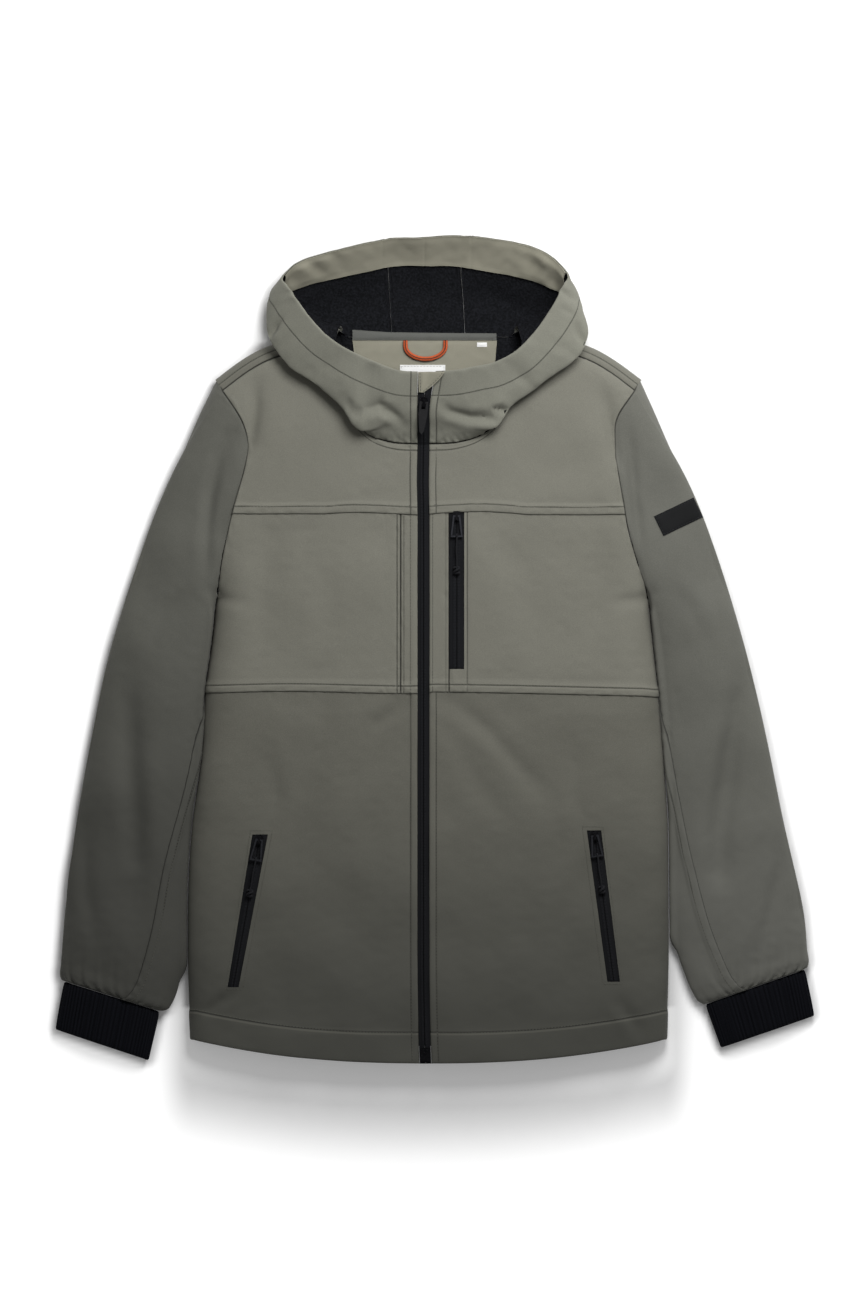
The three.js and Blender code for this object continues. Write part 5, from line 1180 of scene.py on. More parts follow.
LAP_NEAR = CLOSE + (3.6, 5.2, 6.4, 7.2, 8, 8.8, 9.8, 11.4, 13)
ZIP_NEAR = CLOSE + (4.5, 6.2, 7.0, 7.8, 9.5)
HEM_NEAR = CLOSE + (5, 9, 14, 19, 23, 26, 27.5, 29, 30.5, 32, 34, 37)
for side in (RIGHT, LEFT):
    wide, strip_row = 280.0, PLACKET if side is RIGHT else SEAM_ROW
    u = joined(stops(wide * SLOT_START * 1.35, 3.4, 0, SLOT_START, (ZIP_NEAR, (0.8, 2, 3, 4))),
               stops(14.0, 4.0, SLOT_START, SLOT_STOP, ((), ())),
               stops(wide * 0.4, 3.2, SLOT_STOP, 1, ((0.8, 2, 3, 4), NEAR)))
    v = joined(stops(68.0, 3.2, 0, POCKET_LOW, (HEM_NEAR, (1, 3))),
               stops(152.0, 3.2, POCKET_LOW, POCKET_HIGH, ((1, 3), (1, 3))),
               stops(140.0, 3.2, POCKET_HIGH, 1, ((1, 3), NEAR)))
    cloth_panel(f"lower_front_{side.name}", lower_surface(side), u, v, side.sign, [SHELL_LOWER_SHADED, FLEECE],
                seams="end top", line_a=lines(("start", PLACKET)), line_b=hem_line,
                relief=stood_up(PLACKET, True), skip=in_slot(POCKET_LOW, POCKET_HIGH),
                node=f"front_lower_{side.name}", slot="shell_lower")
    v = joined(stops(25.0, 3.2, -0.0229, ZIP_LOW, (LAP_NEAR, (1, 2.5))),
               stops(69.0, 3.2, ZIP_LOW, ARMPIT_V, ((1, 2.5), ())),
               stops(89.0, 3.0, ARMPIT_V, 1, ((), NEAR)))
    u = joined(stops(15.0, 3.0, 0, CHEST_SLOT, (NEAR, (0.8, 2))),
               stops(195.0, 3.1, CHEST_SLOT, 1, ((0.8, 2, 3, 3.9), NEAR)))
    cloth_panel(f"chest_{side.name}", chest_surface(side), u, v, side.sign, [SHELL, FLEECE],
                line_a=lines(("start", SEAM_ROW if side is RIGHT else CHEST_ZIP_ROW)),
                line_b=inside(LAP_BAND, "bottom"), lap="bottom", relief=FRONT_RELIEF,
                skip=in_slot(ZIP_LOW, 2, -1, CHEST_SLOT) if side is LEFT else None,
                node=f"front_chest_{side.name}")
    u = stops(STRIP[side.name] - (2 if side is RIGHT else 5), 3.0, near=(CLOSE, NEAR[:5]))
    cloth_panel(f"front_strip_{side.name}", strip_surface(side), u, v, side.sign, [SHELL, FLEECE],
                seams="end bottom top", line_a=lines(("start", strip_row), ("end", SEAM_ROW)),
                line_b=inside(LAP_BAND, "bottom"), lap="bottom", relief=stood_up(strip_row),
                node=f"chest_strip_{side.name}")
    u = joined(stops(100.0, 3.2, 0, NECK_SHARE, (ZIP_NEAR, ())), stops(105.0, 3.2, NECK_SHARE, 1, ((), NEAR)))
    v = stops(109.0, 3.1, -0.038, 1, (LAP_NEAR, CLOSER + (4.8, 5.7, 6.5, 7.3, 8.4, 10)))
    cloth_panel(f"yoke_{side.name}", yoke_surface(side), u, v, side.sign, [SHELL, FLEECE],
                seams="end bottom top", line_a=lines(("start", PLACKET), ("bottom", LAP_BAND)),
                line_b=neck_line, lap="bottom", relief=stood_up(PLACKET), node=f"front_yoke_{side.name}")

# %% [markdown]
# ## Back, sleeves and cuffs
# The back lies on the table and wraps up over the shoulders. A sleeve is a flattened tube cut along two seams,
# one under the arm, which shows on top here, and one hidden below. Its end is wider than the cuff and gathers
# into it, which gives the short ripples above the rib.

# %% Back and sleeves
PLAIN = ((), ())
side_stops = stops(240.0, 5.2, near=((), CLOSER + (5,)))
v = joined(stops(68.0, 5.0, 0, 0.1, (CLOSE + (6, 12, 20, 26, 29, 32), ())),
           stops(300.0, 5.0, 0.1, V_WAIST, PLAIN), stops(90.0, 5.0, V_WAIST, V_ARMPIT, PLAIN),
           stops(215.0, 4.6, V_ARMPIT, V_WRAP, PLAIN),
           stops(40.0, 2.2, V_WRAP, 1, ((), CLOSE + (6, 7.2, 8, 8.8, 10))))
cloth_panel("back_panel", back_surface, joined(-side_stops[::-1], side_stops), v, -1, [SHELL_LOWER_SHADED, FLEECE],
            seams="start end top", line_a=hem_line, line_b=inside(LAP_BAND, "top"),
            relief=under_relief, node="back", slot="shell", gap=0.3)


def sleeve_gathers(points, away):
    """Small tucks where the wide sleeve is gathered into the cuff."""
    around = away["start"]
    ripple = np.sin(around * math.tau / 10.5 + 1.3 * np.sin(around / 19))
    ripple = ripple + 0.5 * np.sin(around * math.tau / 6.7 + 2)
    fade = np.exp(-away["top"] / 15) * np.clip(away["top"] / 2.5, 0.15, 1)
    return 0.85 * ripple * fade + 0.8 * np.exp(-((away["top"] - 9) / 7) ** 2)


def sleeve_relief(side):
    shared = body_relief(FRONT_FOLDS, 1.0, sleeve_gathers)

    def relief(points, normals, away, seam):
        top = shared(points, normals, away, seam)
        low = under_relief(points, normals, away, seam) + sleeve_gathers(points, away)
        weight = smoothstep(normals[..., 2], -0.5, 0.3)
        space = np.abs(points[..., 0]) - fold_reach(side, points[..., 1])
        towards = smoothstep(-side.sign * normals[..., 0], 0.3, 0.9) * (1 - smoothstep(space, 5, 9))
        beside = np.clip(space - 0.8, 0, 4) * towards * smoothstep(-points[..., 1], -48, -30)
        return low * (1 - weight) + top * weight + beside
    return relief


def along_sleeve(head, arm, end):
    """Rows from the armhole to the cuff, at three pitches."""
    return joined(stops(150.0, head, 0, 2.6, (NEAR, ())), stops(420.0, arm, 2.6, 9, PLAIN),
                  stops(36.0, end, 9, 10, ((), CLOSER + (5,))))


for side in (RIGHT, LEFT):
    hidden, cloth = LOOPS[side.name][2], [SHELL_SLEEVE_SHADED[side.name], FLEECE]
    q = joined(stops(70.0, 4.2, hidden - 2, 0, (CLOSER, ())), stops(165.0, 3.1, 0, 1, ((), NEAR)))
    cloth_panel(f"sleeve_upper_{side.name}", sleeve_panel_surface(side, True), q, along_sleeve(3.2, 3.3, 2.4),
                side.sign, cloth, relief=sleeve_relief(side), node=f"sleeve_top_{side.name}",
                slot="shell_sleeve", gap=0.22, thin="bottom")
    q = stops(109.0, 3.2, 1 - (hidden - 1) * LAP / 105, hidden, (LAP_NEAR, CLOSER))
    cloth_panel(f"sleeve_lower_{side.name}", sleeve_panel_surface(side, False), q, along_sleeve(4.2, 4.6, 2.6),
                side.sign, cloth, relief=sleeve_relief(side), node=f"sleeve_under_{side.name}",
                slot="shell_sleeve", gap=0.22, lap="start", line_a=lines(("start", LAP_BAND)), thin="bottom")

# %% Cuffs of two by two rib
RIBS, RIB_HEIGHT = 66, 0.85
RIB_STEPS = RIBS * 6


def rib_ridge(turns):
    return np.abs(np.sin(np.pi * RIBS * turns)) ** 0.8


def rib_relief(points, normals, away, seam):
    ridge = rib_ridge(away["start"] / (away["start"][:, -1:] + 1e-9))
    mouth = np.clip(1 - away["top"] / 3.0, 0, 1) ** 2
    squeeze = 0.5 * np.sin(away["start"] / 7.0 + away["bottom"] / 30) * np.sin(np.pi * away["bottom"] / 66)
    return RIB_HEIGHT * (ridge - 0.9) - 0.8 * mouth + squeeze - 1.2 * np.exp(-away["bottom"] / 3)


for side in (RIGHT, LEFT):
    rows = stops(64.0, 4.0, near=((0.6, 1.6, 3), (0.6, 1.6, 3)))
    cuff = cloth_panel(f"rib_cuff_{side.name}", cuff_surface(side), np.linspace(0, 2, RIB_STEPS + 1), rows,
                       side.sign, [RIB], wall=1.6, closed=True, seams="bottom", relief=rib_relief,
                       node=f"cuff_{side.name}", slot="rib", gap=0.4)
    ridge = np.tile(rib_ridge(np.arange(RIB_STEPS) / RIB_STEPS), 2 * len(rows))
    cuff.data.attributes.new("ridge", "FLOAT", "POINT").data.foreach_set("value", ridge.astype(np.float32))

# %% [markdown]
# ## Hood
# The hood lies folded open: its neck edge is sewn to the neckline, it bulges outwards, and its rim turns back in
# round the opening. Running the grid round the opening lets one surface hold both sides and the centre piece.

# %% Hood panels
HOOD_RIM_LINE, HOOD_STEPS = 25.0, 44


def hood_loose(x, y):
    return 0.56 * BROAD(x * 1.4, y * 1.4) + 0.32 * MIDDLE(x, y) + 0.12 * SMALL(x, y)


def hood_relief(points, normals, away, seam):
    x, y = points[..., 0], points[..., 1]
    facing = smoothstep(normals[..., 2], 0.05, 0.5)
    creased = fold_relief(HOOD_FOLDS, x, y) * facing
    pulled = 0.5 * PUCKER(x, y) * np.exp(-seam / 6) * np.clip(seam / 1.5, 0, 1)
    settled = np.clip(away["bottom"] / 14, 0, 1)
    return (hood_loose(x, y) + creased) * settled + pulled


def hood_stops(start, end, close):
    whole = np.linspace(start, end, round((end - start) * HOOD_STEPS))
    return np.unique(np.concatenate([whole, close]).round(6))


RIM_NEAR = (0.5, 1.2, 2.2, 4, 8, 13, 18, 22, 23.8, 25, 26.2, 28)
rises = stops(112.0, 3.4, 0, 3, (CLOSER + (5, 7, 9), RIM_NEAR))
SIDE_PITCH = 0.012
FRONT_EDGE = [0.03, 0.08, 0.14, 0.27, 0.32, 0.36, 0.40, 0.45]
SEAM_EDGE = [SIDE_PITCH * k for k in (1, 3, 5, 8)]
for name, low, high, near_start, near_end, sewn, start_row, end_row in (
        ("side_r", 0.0, 12.0, FRONT_EDGE, SEAM_EDGE, "end bottom", PLACKET, SEAM_ROW),
        ("centre", 12.0, 14.0, SEAM_EDGE, SEAM_EDGE, "start end bottom", SEAM_ROW, SEAM_ROW),
        ("side_l", 14.0, 26.0, SEAM_EDGE, FRONT_EDGE, "start bottom", SEAM_ROW, PLACKET)):
    close = [low + k for k in near_start] + [high - k for k in near_end]
    cloth_panel(f"hood_{name}_cloth", hood_surface, hood_stops(low, high, close), rises, -1,
                [SHELL_HOOD, FLEECE], wall=1.3, seams=sewn, line_a=inside(HOOD_RIM_LINE, "top"),
                line_b=lines(("start", start_row), ("end", end_row)), relief=hood_relief,
                node=f"hood_{name}", slot="shell_hood")

# %% [markdown]
# ## Zips
# The main zip is a reverse coil: matte tape with the coil hidden behind, so a ribbed band and one fine centre line
# show. Its sliders, pulls and bottom box are hard and keep the model's own shape, with their edges softened.


# %% Tapes
def between(first, second):
    return lambda u, v: lerp(first(u, v), second(u, v), u[:, None])


def main_edge(side, at):
    body_at = np.clip(at, 0, 1)
    y = lerp(float(hem_y(0.0)), NECK_Y, body_at)
    reach = zip_reach(side, y)
    on_body = stack(side.sign * reach, y, front_height(side, reach, y))
    on_hood = hood_surface(np.full(at.shape, 0.0 if side is RIGHT else HOOD_LAST), np.clip(at - 1, 0, 3))
    return np.where((at > 1)[:, None], on_hood, on_body)


main_zip = between(lambda u, at: main_edge(RIGHT, at), lambda u, at: main_edge(LEFT, at))
TAPE_DROP, COLLAR_TOP = 0.5, 3.95


def coil_relief(points, normals, away, seam):
    """A raised band on each side of the line where the two tapes meet."""
    share = np.clip(away["start"] / (away["start"] + away["end"] + 1e-9), 0, 1)
    off = np.abs(share - 0.5)
    band = smoothstep(-off, -0.3, -0.2) - smoothstep(-off, -0.05, -0.01)
    ribs = 0.1 * np.sin(away["bottom"] * math.tau / 3.2)
    settle = 0.25 * BROAD(points[..., 0] + 60, points[..., 1] * 1.3)
    return 0.55 * band + ribs * band + settle


across = np.array([0, 0.08, 0.18, 0.22, 0.28, 0.34, 0.4, 0.44, 0.47, 0.49, 0.51, 0.53, 0.56, 0.6, 0.66, 0.72,
                   0.78, 0.82, 0.92, 1])


def half_relief(side):
    """The coil's relief for one half, which counts the other half's width as its own again."""
    def relief(points, normals, away, seam):
        other = away["start"][:, -1:]
        whole = dict(away, end=away["end"] + other) if side is RIGHT else dict(away, start=away["start"] + other)
        return coil_relief(points, normals, whole, seam)
    return relief


for side, low, high in ((RIGHT, 0.0, 0.5), (LEFT, 0.5, 1.0)):
    half = np.unique(np.concatenate([[low], across[(across > low) & (across < high)], [high]]))
    at = joined(np.linspace(0, 1, 380), np.linspace(1, COLLAR_TOP, 70))
    cloth_panel(f"main_tape_{side.name}", main_zip, half, at, 1, [ZIP_TAPE], wall=0.8, seams="start end",
                relief=half_relief(side), lift=-TAPE_DROP, node=f"main_zip_tape_{side.name}",
                slot="zip_tape", roll=0.1, gap=0.05)

chest_zip = lambda u, v: chest_surface(LEFT)(u * CHEST_SLOT, v)


def hand_zip(side):
    return lambda u, v: lower_surface(side)(lerp(SLOT_START, SLOT_STOP, u), v)


PocketZip = namedtuple("PocketZip", "name surface side low high length slider_at")
POCKET_ZIPS = [PocketZip("chest_zip", chest_zip, LEFT, ZIP_LOW, 1.0, 159.0, 0.966),
               PocketZip("hand_zip_r", hand_zip(RIGHT), RIGHT, POCKET_LOW, POCKET_HIGH, 156.0, 0.684),
               PocketZip("hand_zip_l", hand_zip(LEFT), LEFT, POCKET_LOW, POCKET_HIGH, 154.0, 0.684)]
for made in POCKET_ZIPS:
    cloth_panel(f"{made.name}_coil", made.surface, across, stops(made.length, 1.6, made.low, made.high, PLAIN),
                made.side.sign, [ZIP_TAPE], wall=0.8, seams="start end", relief=coil_relief, lift=-TAPE_DROP,
                node=f"{made.name}_tape", slot="zip_tape", roll=0.3, gap=0.3)


# %% Sliders, pulls and the box
def soften(node, width, material):
    piece = bpy.data.objects[node]
    bevel = piece.modifiers.new("soft edges", "BEVEL")
    bevel.width, bevel.segments = width * METRE, 2
    bevel.limit_method, bevel.angle_limit = "ANGLE", math.radians(35)
    piece.data.materials.clear()
    piece.data.materials.append(material)


soften("main_zip_pull", 0.5, BLACK_TAB)
soften("main_zip_box", 0.4, BLACK_METAL)
soften("main_zip_slider", 0.35, BLACK_METAL)
for made in POCKET_ZIPS:
    soften(f"{made.name}_slider", 0.35, BLACK_METAL)
    soften(f"{made.name}_pull", 0.45, SILVER)
print("hard parts softened")


# %% Pull cords
def zip_frame(surface, v, outward):
    step, at = 0.01, lambda u, w: surface(np.array([u]), np.array([w]))[0]
    up = unit(at(0.5, v + step) - at(0.5, v - step))
    side_way = at(0.5 + step, v) - at(0.5 - step, v)
    out = unit(outward * np.cross(side_way, up))
    return np.stack([np.cross(up, out), up, out], axis=1), at(0.5, v) - TAPE_DROP * out


def tube(name, path, radius, sides, material, flat=1.0, across=None):
    """A round rod along a path, with its run and its place around as measures."""
    path = np.asarray(path, float)
    way = unit(np.gradient(path, axis=0))
    side_way = unit(np.cross(way, across if across is not None else np.array([0.0, 0, 1])))
    other = np.cross(side_way, way)
    turn = np.arange(sides) / sides * math.tau
    radius = np.broadcast_to(radius, len(path))[:, None, None]
    ring = (np.cos(turn)[None, :, None] * side_way[:, None]
            + flat * np.sin(turn)[None, :, None] * other[:, None])
    points = (path[:, None] + radius * ring).reshape(-1, 3)
    index = np.arange(len(path))[:, None] * sides + np.arange(sides)[None]
    beside = np.roll(index, -1, axis=1)
    faces = np.stack([index[:-1], beside[:-1], beside[1:], index[1:]], -1).reshape(-1, 4)
    measures = {"run": np.repeat(lengths_along(path, 0), sides),
                "across": np.tile(np.arange(sides) / sides, len(path))}
    return make_mesh(name, points, faces, [material], measures=measures)


def round_knot(middle, basis, wide, long, thick):
    """A single overhand knot: one thick strand crossing over itself."""
    t = np.linspace(0, math.tau, 60, endpoint=False)
    x = 0.62 * wide * np.sin(2 * t)
    y = 0.62 * long * np.sin(t) * 0.9
    z = 0.55 * thick * np.cos(2 * t) * np.cos(t)
    local = np.stack([x, y, z], -1)
    return middle + np.concatenate([local, local[:2]]) @ basis.T


RING_LENGTH, BAR, HINGE_Z, CORD_RADIUS, KNOT_RADIUS, BEND, KNOT_Y = 21.0, 0.8, 3.45, 0.9, 1.25, 2.2, -53.0
for made in POCKET_ZIPS:
    name, (basis, origin) = made.name, zip_frame(made.surface, made.slider_at, made.side.sign)
    turn_y = BAR - RING_LENGTH
    down = np.linspace(1, 0, 14)
    strand = lambda sign, share: np.stack([
        0.25 * np.sin(9 * share + sign), lerp(turn_y, KNOT_Y, share),
        HINGE_Z + sign * lerp(BEND, 1.05, smoothstep(share, 0, 1))], -1)
    angle = np.linspace(0, math.pi, 14)[1:-1]
    bend = np.stack([0 * angle + 0.1, turn_y + BEND * np.sin(angle), HINGE_Z - BEND * np.cos(angle)], -1)
    local = np.concatenate([strand(-1, down), bend, strand(1, down[::-1])])
    path = origin + local @ basis.T
    cord = tube(f"{name}_pull_cord", path, CORD_RADIUS, 10, CORD_CLOTH, across=basis[:, 0])
    knot_path = round_knot(origin + basis @ np.array([0, KNOT_Y - 1.0, HINGE_Z]), basis, 4.0, 5.4, 2.9)
    knot = tube(f"{name}_knot", knot_path, KNOT_RADIUS, 10, CORD_CLOTH, across=basis[:, 2])
    for piece in (cord, knot):
        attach(piece, f"{name}_puller")
        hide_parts(f"{name}_cord")
    length = float(np.linalg.norm(np.diff(path, axis=0), axis=1).sum()) * METRE
    tuple(path[0] * METRE)
    [tuple(p * METRE) for p in path]
    print(f"{name}: cord {length * 1000:.0f} mm")

# %% [markdown]
# ## Trims at the neck
# A facing, a woven tape, a blank label and tab and the hanging loop lie on the inside of the back, one on another.
# Each flat one is a thin panel of its own between two edges, and rests on the layer under it.


# %% Facing, tape, label and tab
def flat_between(lower, upper, height):
    read = lambda edge, axis, u: np.interp(u, np.linspace(0, 1, len(edge)), [float(p[axis]) for p in edge])

    def surface(u, v):
        x, y = (lerp(read(lower, axis, u), read(upper, axis, u), v) for axis in (0, 1))
        return stack(x, y, height(x, y))
    return surface


def trim(name, lower, upper, z, size, material, node, slot, stitch=1.6, wave=0.12):
    height = lambda x, y: z + wave * SMALL(x, y)
    u, v = (stops(length, 2.4, near=(TRIM_NEAR + (2.2,),) * 2) for length in size)
    cloth_panel(name, flat_between(lower, upper, height), u, v, 1, [material], wall=0.7, seams="start",
                line_a=inside(stitch, *EDGES), node=node, slot=slot, roll=0.35, gap=0.05)


trim("neck_facing_cloth",
     [(-70, 262), (-58, 253.5), (-45, 248), (-20, 244), (0, 243), (20, 244), (45, 248), (56, 254),
      (64.5, 262)],
     [(-76, 308.4), (-40, 308.4), (0, 308.4), (40, 308.4), (68.5, 308.4)], 3.1, (140, 58), FACING,
     "back_neck_facing", "facing")
trim("neck_tape_cloth", [(-76, 308.7), (-40, 308.7), (0, 308.7), (34, 308.7), (68, 308.7)],
     [(-76, 319.2), (-40, 316.8), (0, 316.2), (34, 315.8), (68, 315.6)], 3.4, (144, 8), NECK_TAPE,
     "neck_tape", "neck_tape", stitch=1.2)
trim("blank_label", [(-28.5, 254), (16.8, 254)], [(-28.5, 284), (16.8, 284)], 4.2, (45, 30), LABEL_CLOTH,
     "neck_label", "label")
trim("blank_tab", [(48.5, 302), (58.5, 302)], [(48.5, 306.5), (58.5, 306.5)], 4.2, (10, 4.5), LABEL_CLOTH,
     "size_tab", "label", stitch=0.9, wave=0.04)

# %% Hanging loop
LOOP_X, LOOP_HALF, LOOP_END, LOOP_BEND, LOOP_DEPTH, LOOP_Z, LOOP_RADIUS = -3.0, 20.0, 308.3, 303.0, 13.0, 5.2, 2.3
angle = np.linspace(0, math.pi, 60)
curve = np.stack([LOOP_X - LOOP_HALF * np.cos(angle), LOOP_BEND - LOOP_DEPTH * np.sin(angle),
                  LOOP_Z + 0 * angle], -1)
ends = [np.stack([np.full(6, LOOP_X + s * LOOP_HALF), np.linspace(LOOP_END, LOOP_BEND, 7)[:-1],
                  np.full(6, LOOP_Z)], -1) for s in (-1, 1)]
path = np.concatenate([ends[0], curve, ends[1][::-1]])
loop = tube("hanging_loop", path, LOOP_RADIUS, 16, LOOP_CLOTH, flat=0.62)
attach(loop, "jacket")
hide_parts("hanger_loop")
print("loop is", round(float(lengths_along(path, 0)[-1])), "mm round its U")

# %% Hood facing, chin flap and sleeve badge
BAND_DROP, FLAP_LIFT, BADGE_LIFT = 2.5, 2.0, 1.1
FACING_START, FACING_STOP, FACING_LOW = 8.5, 17.5, 1.9
BAND_SEAMS = (-46.0, -4.0, 43.0)


def band_relief(points, normals, away, seam):
    """The band follows the hood, stands off it in crumples near its two ends, and dips at its three seams."""
    x, y = points[..., 0], points[..., 1]
    ends = smoothstep(np.abs(x + 2), 70, 125)
    crumple = np.sin((x * 0.9 + y * 0.5) / 4.2 + np.sin(y / 9)) * np.sin((y - 0.4 * x) / 9.0 + 1)
    dips = sum(np.exp(-((x - at) / 1.1) ** 2) for at in BAND_SEAMS)
    loose = 3.0 * (0.5 + 0.5 * crumple) * ends + 0.4
    inwards = loose * np.clip(np.minimum(away["top"], away["bottom"]) / 6, 0, 1) - 0.3 * dips
    return hood_loose(x, y) - inwards


cloth_panel("hood_band", hood_surface, np.linspace(FACING_START, FACING_STOP, 420),
            stops(34.0, 2.0, FACING_LOW, 3, (TRIM_NEAR + (2.4,),) * 2), -1, [FACING], wall=0.8,
            seams="start", line_a=inside(2, "bottom"), lift=-BAND_DROP,
            relief=band_relief, node="hood_facing", slot="facing", roll=0.4)
FLAP = columns("v left_x left_y right_x right_y", [
    (0, -10.5, 276, 16.5, 276.5), (0.25, -10.3, 270, 11.5, 269.5), (0.5, -10.1, 264.5, 5, 263),
    (0.75, -9.9, 259.5, -0.5, 258.5), (1, -9.7, 255.5, -5, 255.3)])


def collar_height(y):
    at = np.linspace(2.5, 4, 200)
    line = main_zip(0 * at + 0.5, at)
    return np.interp(y, line[:, 1], line[:, 2])


def flap_surface(u, v):
    read = lambda key: through(FLAP, "v", key, v)
    x, y = lerp(read("left_x"), read("right_x"), u), lerp(read("left_y"), read("right_y"), u)
    return stack(x, y, collar_height(y))


def flap_relief(points, normals, away, seam):
    """Its free corner curls up, and small creases fan out from the tip by the slider."""
    x, y = points[..., 0], points[..., 1]
    fan = np.sin((x + 8) / np.maximum(y - 250, 4) * 13)
    return 2.6 * smoothstep(x, -4, 16) * smoothstep(y, 256, 274) + 0.45 * fan


flap_stops = stops(22.0, 1.6, near=((0.4, 1, 1.7),) * 2)
cloth_panel("chin_flap_cloth", flap_surface, flap_stops, flap_stops, -1, [FACING], wall=0.8, seams="start",
            line_a=inside(2, "start", "end", "top"), lift=FLAP_LIFT, relief=flap_relief,
            node="chin_flap", slot="facing", roll=0.4)
BADGE_X, BADGE_Y, BADGE_WIDE, BADGE_HIGH, BADGE_TURN = 249.5, 132.0, 44.0, 22.0, math.radians(25.5)


def sleeve_under(side, x, y):
    """The sleeve's point below a place in plan, found by Newton's steps on its surface."""
    around, at = np.full(x.shape, 0.4), np.full(x.shape, 2.2)
    step, surface = 0.001, sleeve_surface(side)
    for _ in range(20):
        here = surface(around, at)
        by_around = (surface(around + step, at) - here) / step
        by_at = (surface(around, at + step) - here) / step
        size = by_around[:, 0] * by_at[:, 1] - by_around[:, 1] * by_at[:, 0]
        miss_x, miss_y = x - here[:, 0], y - here[:, 1]
        around = np.clip(around + (miss_x * by_at[:, 1] - miss_y * by_at[:, 0]) / size, 0.03, 0.97)
        at = np.clip(at + (by_around[:, 0] * miss_y - by_around[:, 1] * miss_x) / size, 0.5, 5)
    return surface(around, at)


def badge_surface(u, v):
    x, y = (u - 0.5) * BADGE_WIDE, (v - 0.5) * BADGE_HIGH
    turn_x = x * math.cos(BADGE_TURN) - y * math.sin(BADGE_TURN)
    turn_y = x * math.sin(BADGE_TURN) + y * math.cos(BADGE_TURN)
    return sleeve_under(LEFT, BADGE_X + turn_x, BADGE_Y + turn_y)


def on_sleeve(points, normals, away, seam):
    x, y = points[..., 0], points[..., 1]
    return fold_relief(FRONT_FOLDS, x, y) + BROAD(x, y) + 0.17 * MIDDLE(x, y)


cloth_panel("bare_badge", badge_surface, *(stops(length, 1.8, near=(TRIM_NEAR,) * 2) for length in
                                           (BADGE_WIDE, BADGE_HIGH)), 1, [BADGE_CLOTH], wall=0.8,
            seams="start", line_a=inside(1.3, *EDGES), relief=on_sleeve, lift=BADGE_LIFT,
            node="sleeve_badge", slot="badge", roll=0.35)

# %% [markdown]
# ## Stitches
# Each stitch is a short raised capsule with a gap after it, laid along a line at a fixed distance from an edge of
# a panel. The lines are taken from the panels' own finished points, so a stitch sits in its groove everywhere.


# %% Stitches along a panel's edge
STITCH, STITCH_GAP, THREAD_RADIUS = 2.2, 1.0, 0.3


def line_beside(panel, edge, distance, start=0.0, stop=1.0):
    """Points and normals at `distance` from one edge, as a line along it."""
    away = getattr(panel, edge)
    points, normals = panel.points, panel.normals
    if edge in ("start", "end"):
        away, points, normals = away.T, points.transpose(1, 0, 2), normals.transpose(1, 0, 2)
    if edge in ("end", "top"):
        away, points, normals = away[::-1], points[::-1], normals[::-1]
    columns_here = np.arange(away.shape[1])
    k = np.clip(np.sum(away < distance, axis=0) - 1, 0, len(away) - 2)
    low, high = away[k, columns_here], away[k + 1, columns_here]
    t = np.clip((distance - low) / np.maximum(high - low, 1e-6), 0, 1)[:, None]
    line = lerp(points[k, columns_here], points[k + 1, columns_here], t)
    normal = lerp(normals[k, columns_here], normals[k + 1, columns_here], t)
    first, last = int(start * (len(line) - 1)), int(math.ceil(stop * (len(line) - 1)))
    return line[first:last + 1], unit(normal[first:last + 1])


RING_PLACE, RING_WIDTH, SUNK_ENDS = 0.36, 1.2 * 0.75, 0.25
CORNERS = [(1, 0), (0, 1), (-1, 0), (0, -1)]
TURNS = [(k, (k + 1) % 4) for k in range(4)]
CAPSULE = ([(0, 2 + b, 2 + a) for a, b in TURNS] + [(1, 6 + a, 6 + b) for a, b in TURNS]
           + [(2 + a, 2 + b, 6 + b) for a, b in TURNS] + [(2 + a, 6 + b, 6 + a) for a, b in TURNS])


def stitches(line, normal, sink=0.12):
    lengths = np.concatenate([[0], np.cumsum(np.linalg.norm(np.diff(line, axis=0), axis=1))])
    middles = np.arange(2.0, lengths[-1] - 2.0, STITCH + STITCH_GAP)
    read = lambda table, at: np.stack([np.interp(at, lengths, table[:, axis]) for axis in range(3)], -1)
    centre, out = read(line, middles), unit(read(normal, middles))
    way = unit(read(line, middles + 0.5) - read(line, middles - 0.5))
    side_way = np.cross(out, way)
    middle = centre + out * (THREAD_RADIUS - sink)
    parts = [middle + way * STITCH * end - out * SUNK_ENDS for end in (-0.5, 0.5)]
    for along in (-RING_PLACE, RING_PLACE):
        for a, b in CORNERS:
            shift = THREAD_RADIUS * (a * side_way * 1.1 + b * out) * RING_WIDTH
            parts.append(middle + way * STITCH * along + shift)
    faces = np.array(CAPSULE)[None] + 10 * np.arange(len(middles))[:, None, None]
    return np.stack(parts, 1).reshape(-1, 3), faces.reshape(-1, 3)


def sew(name, rows, material=THREAD):
    """One piece from rows of stitches: each a ready line, or a panel, an edge, a distance and maybe a part."""
    points, faces, count = [], [], 0
    for row in rows:
        line, normal = line_beside(PANELS[row[0]], *row[1:]) if isinstance(row[0], str) else row
        made, triangles = stitches(line, normal)
        points.append(made)
        faces.append(triangles + count)
        count += len(made)
    piece = make_mesh(name, np.concatenate(points), np.concatenate(faces), [material])
    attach(piece, "jacket")
    print(f"{name}: {count // 10} stitches")


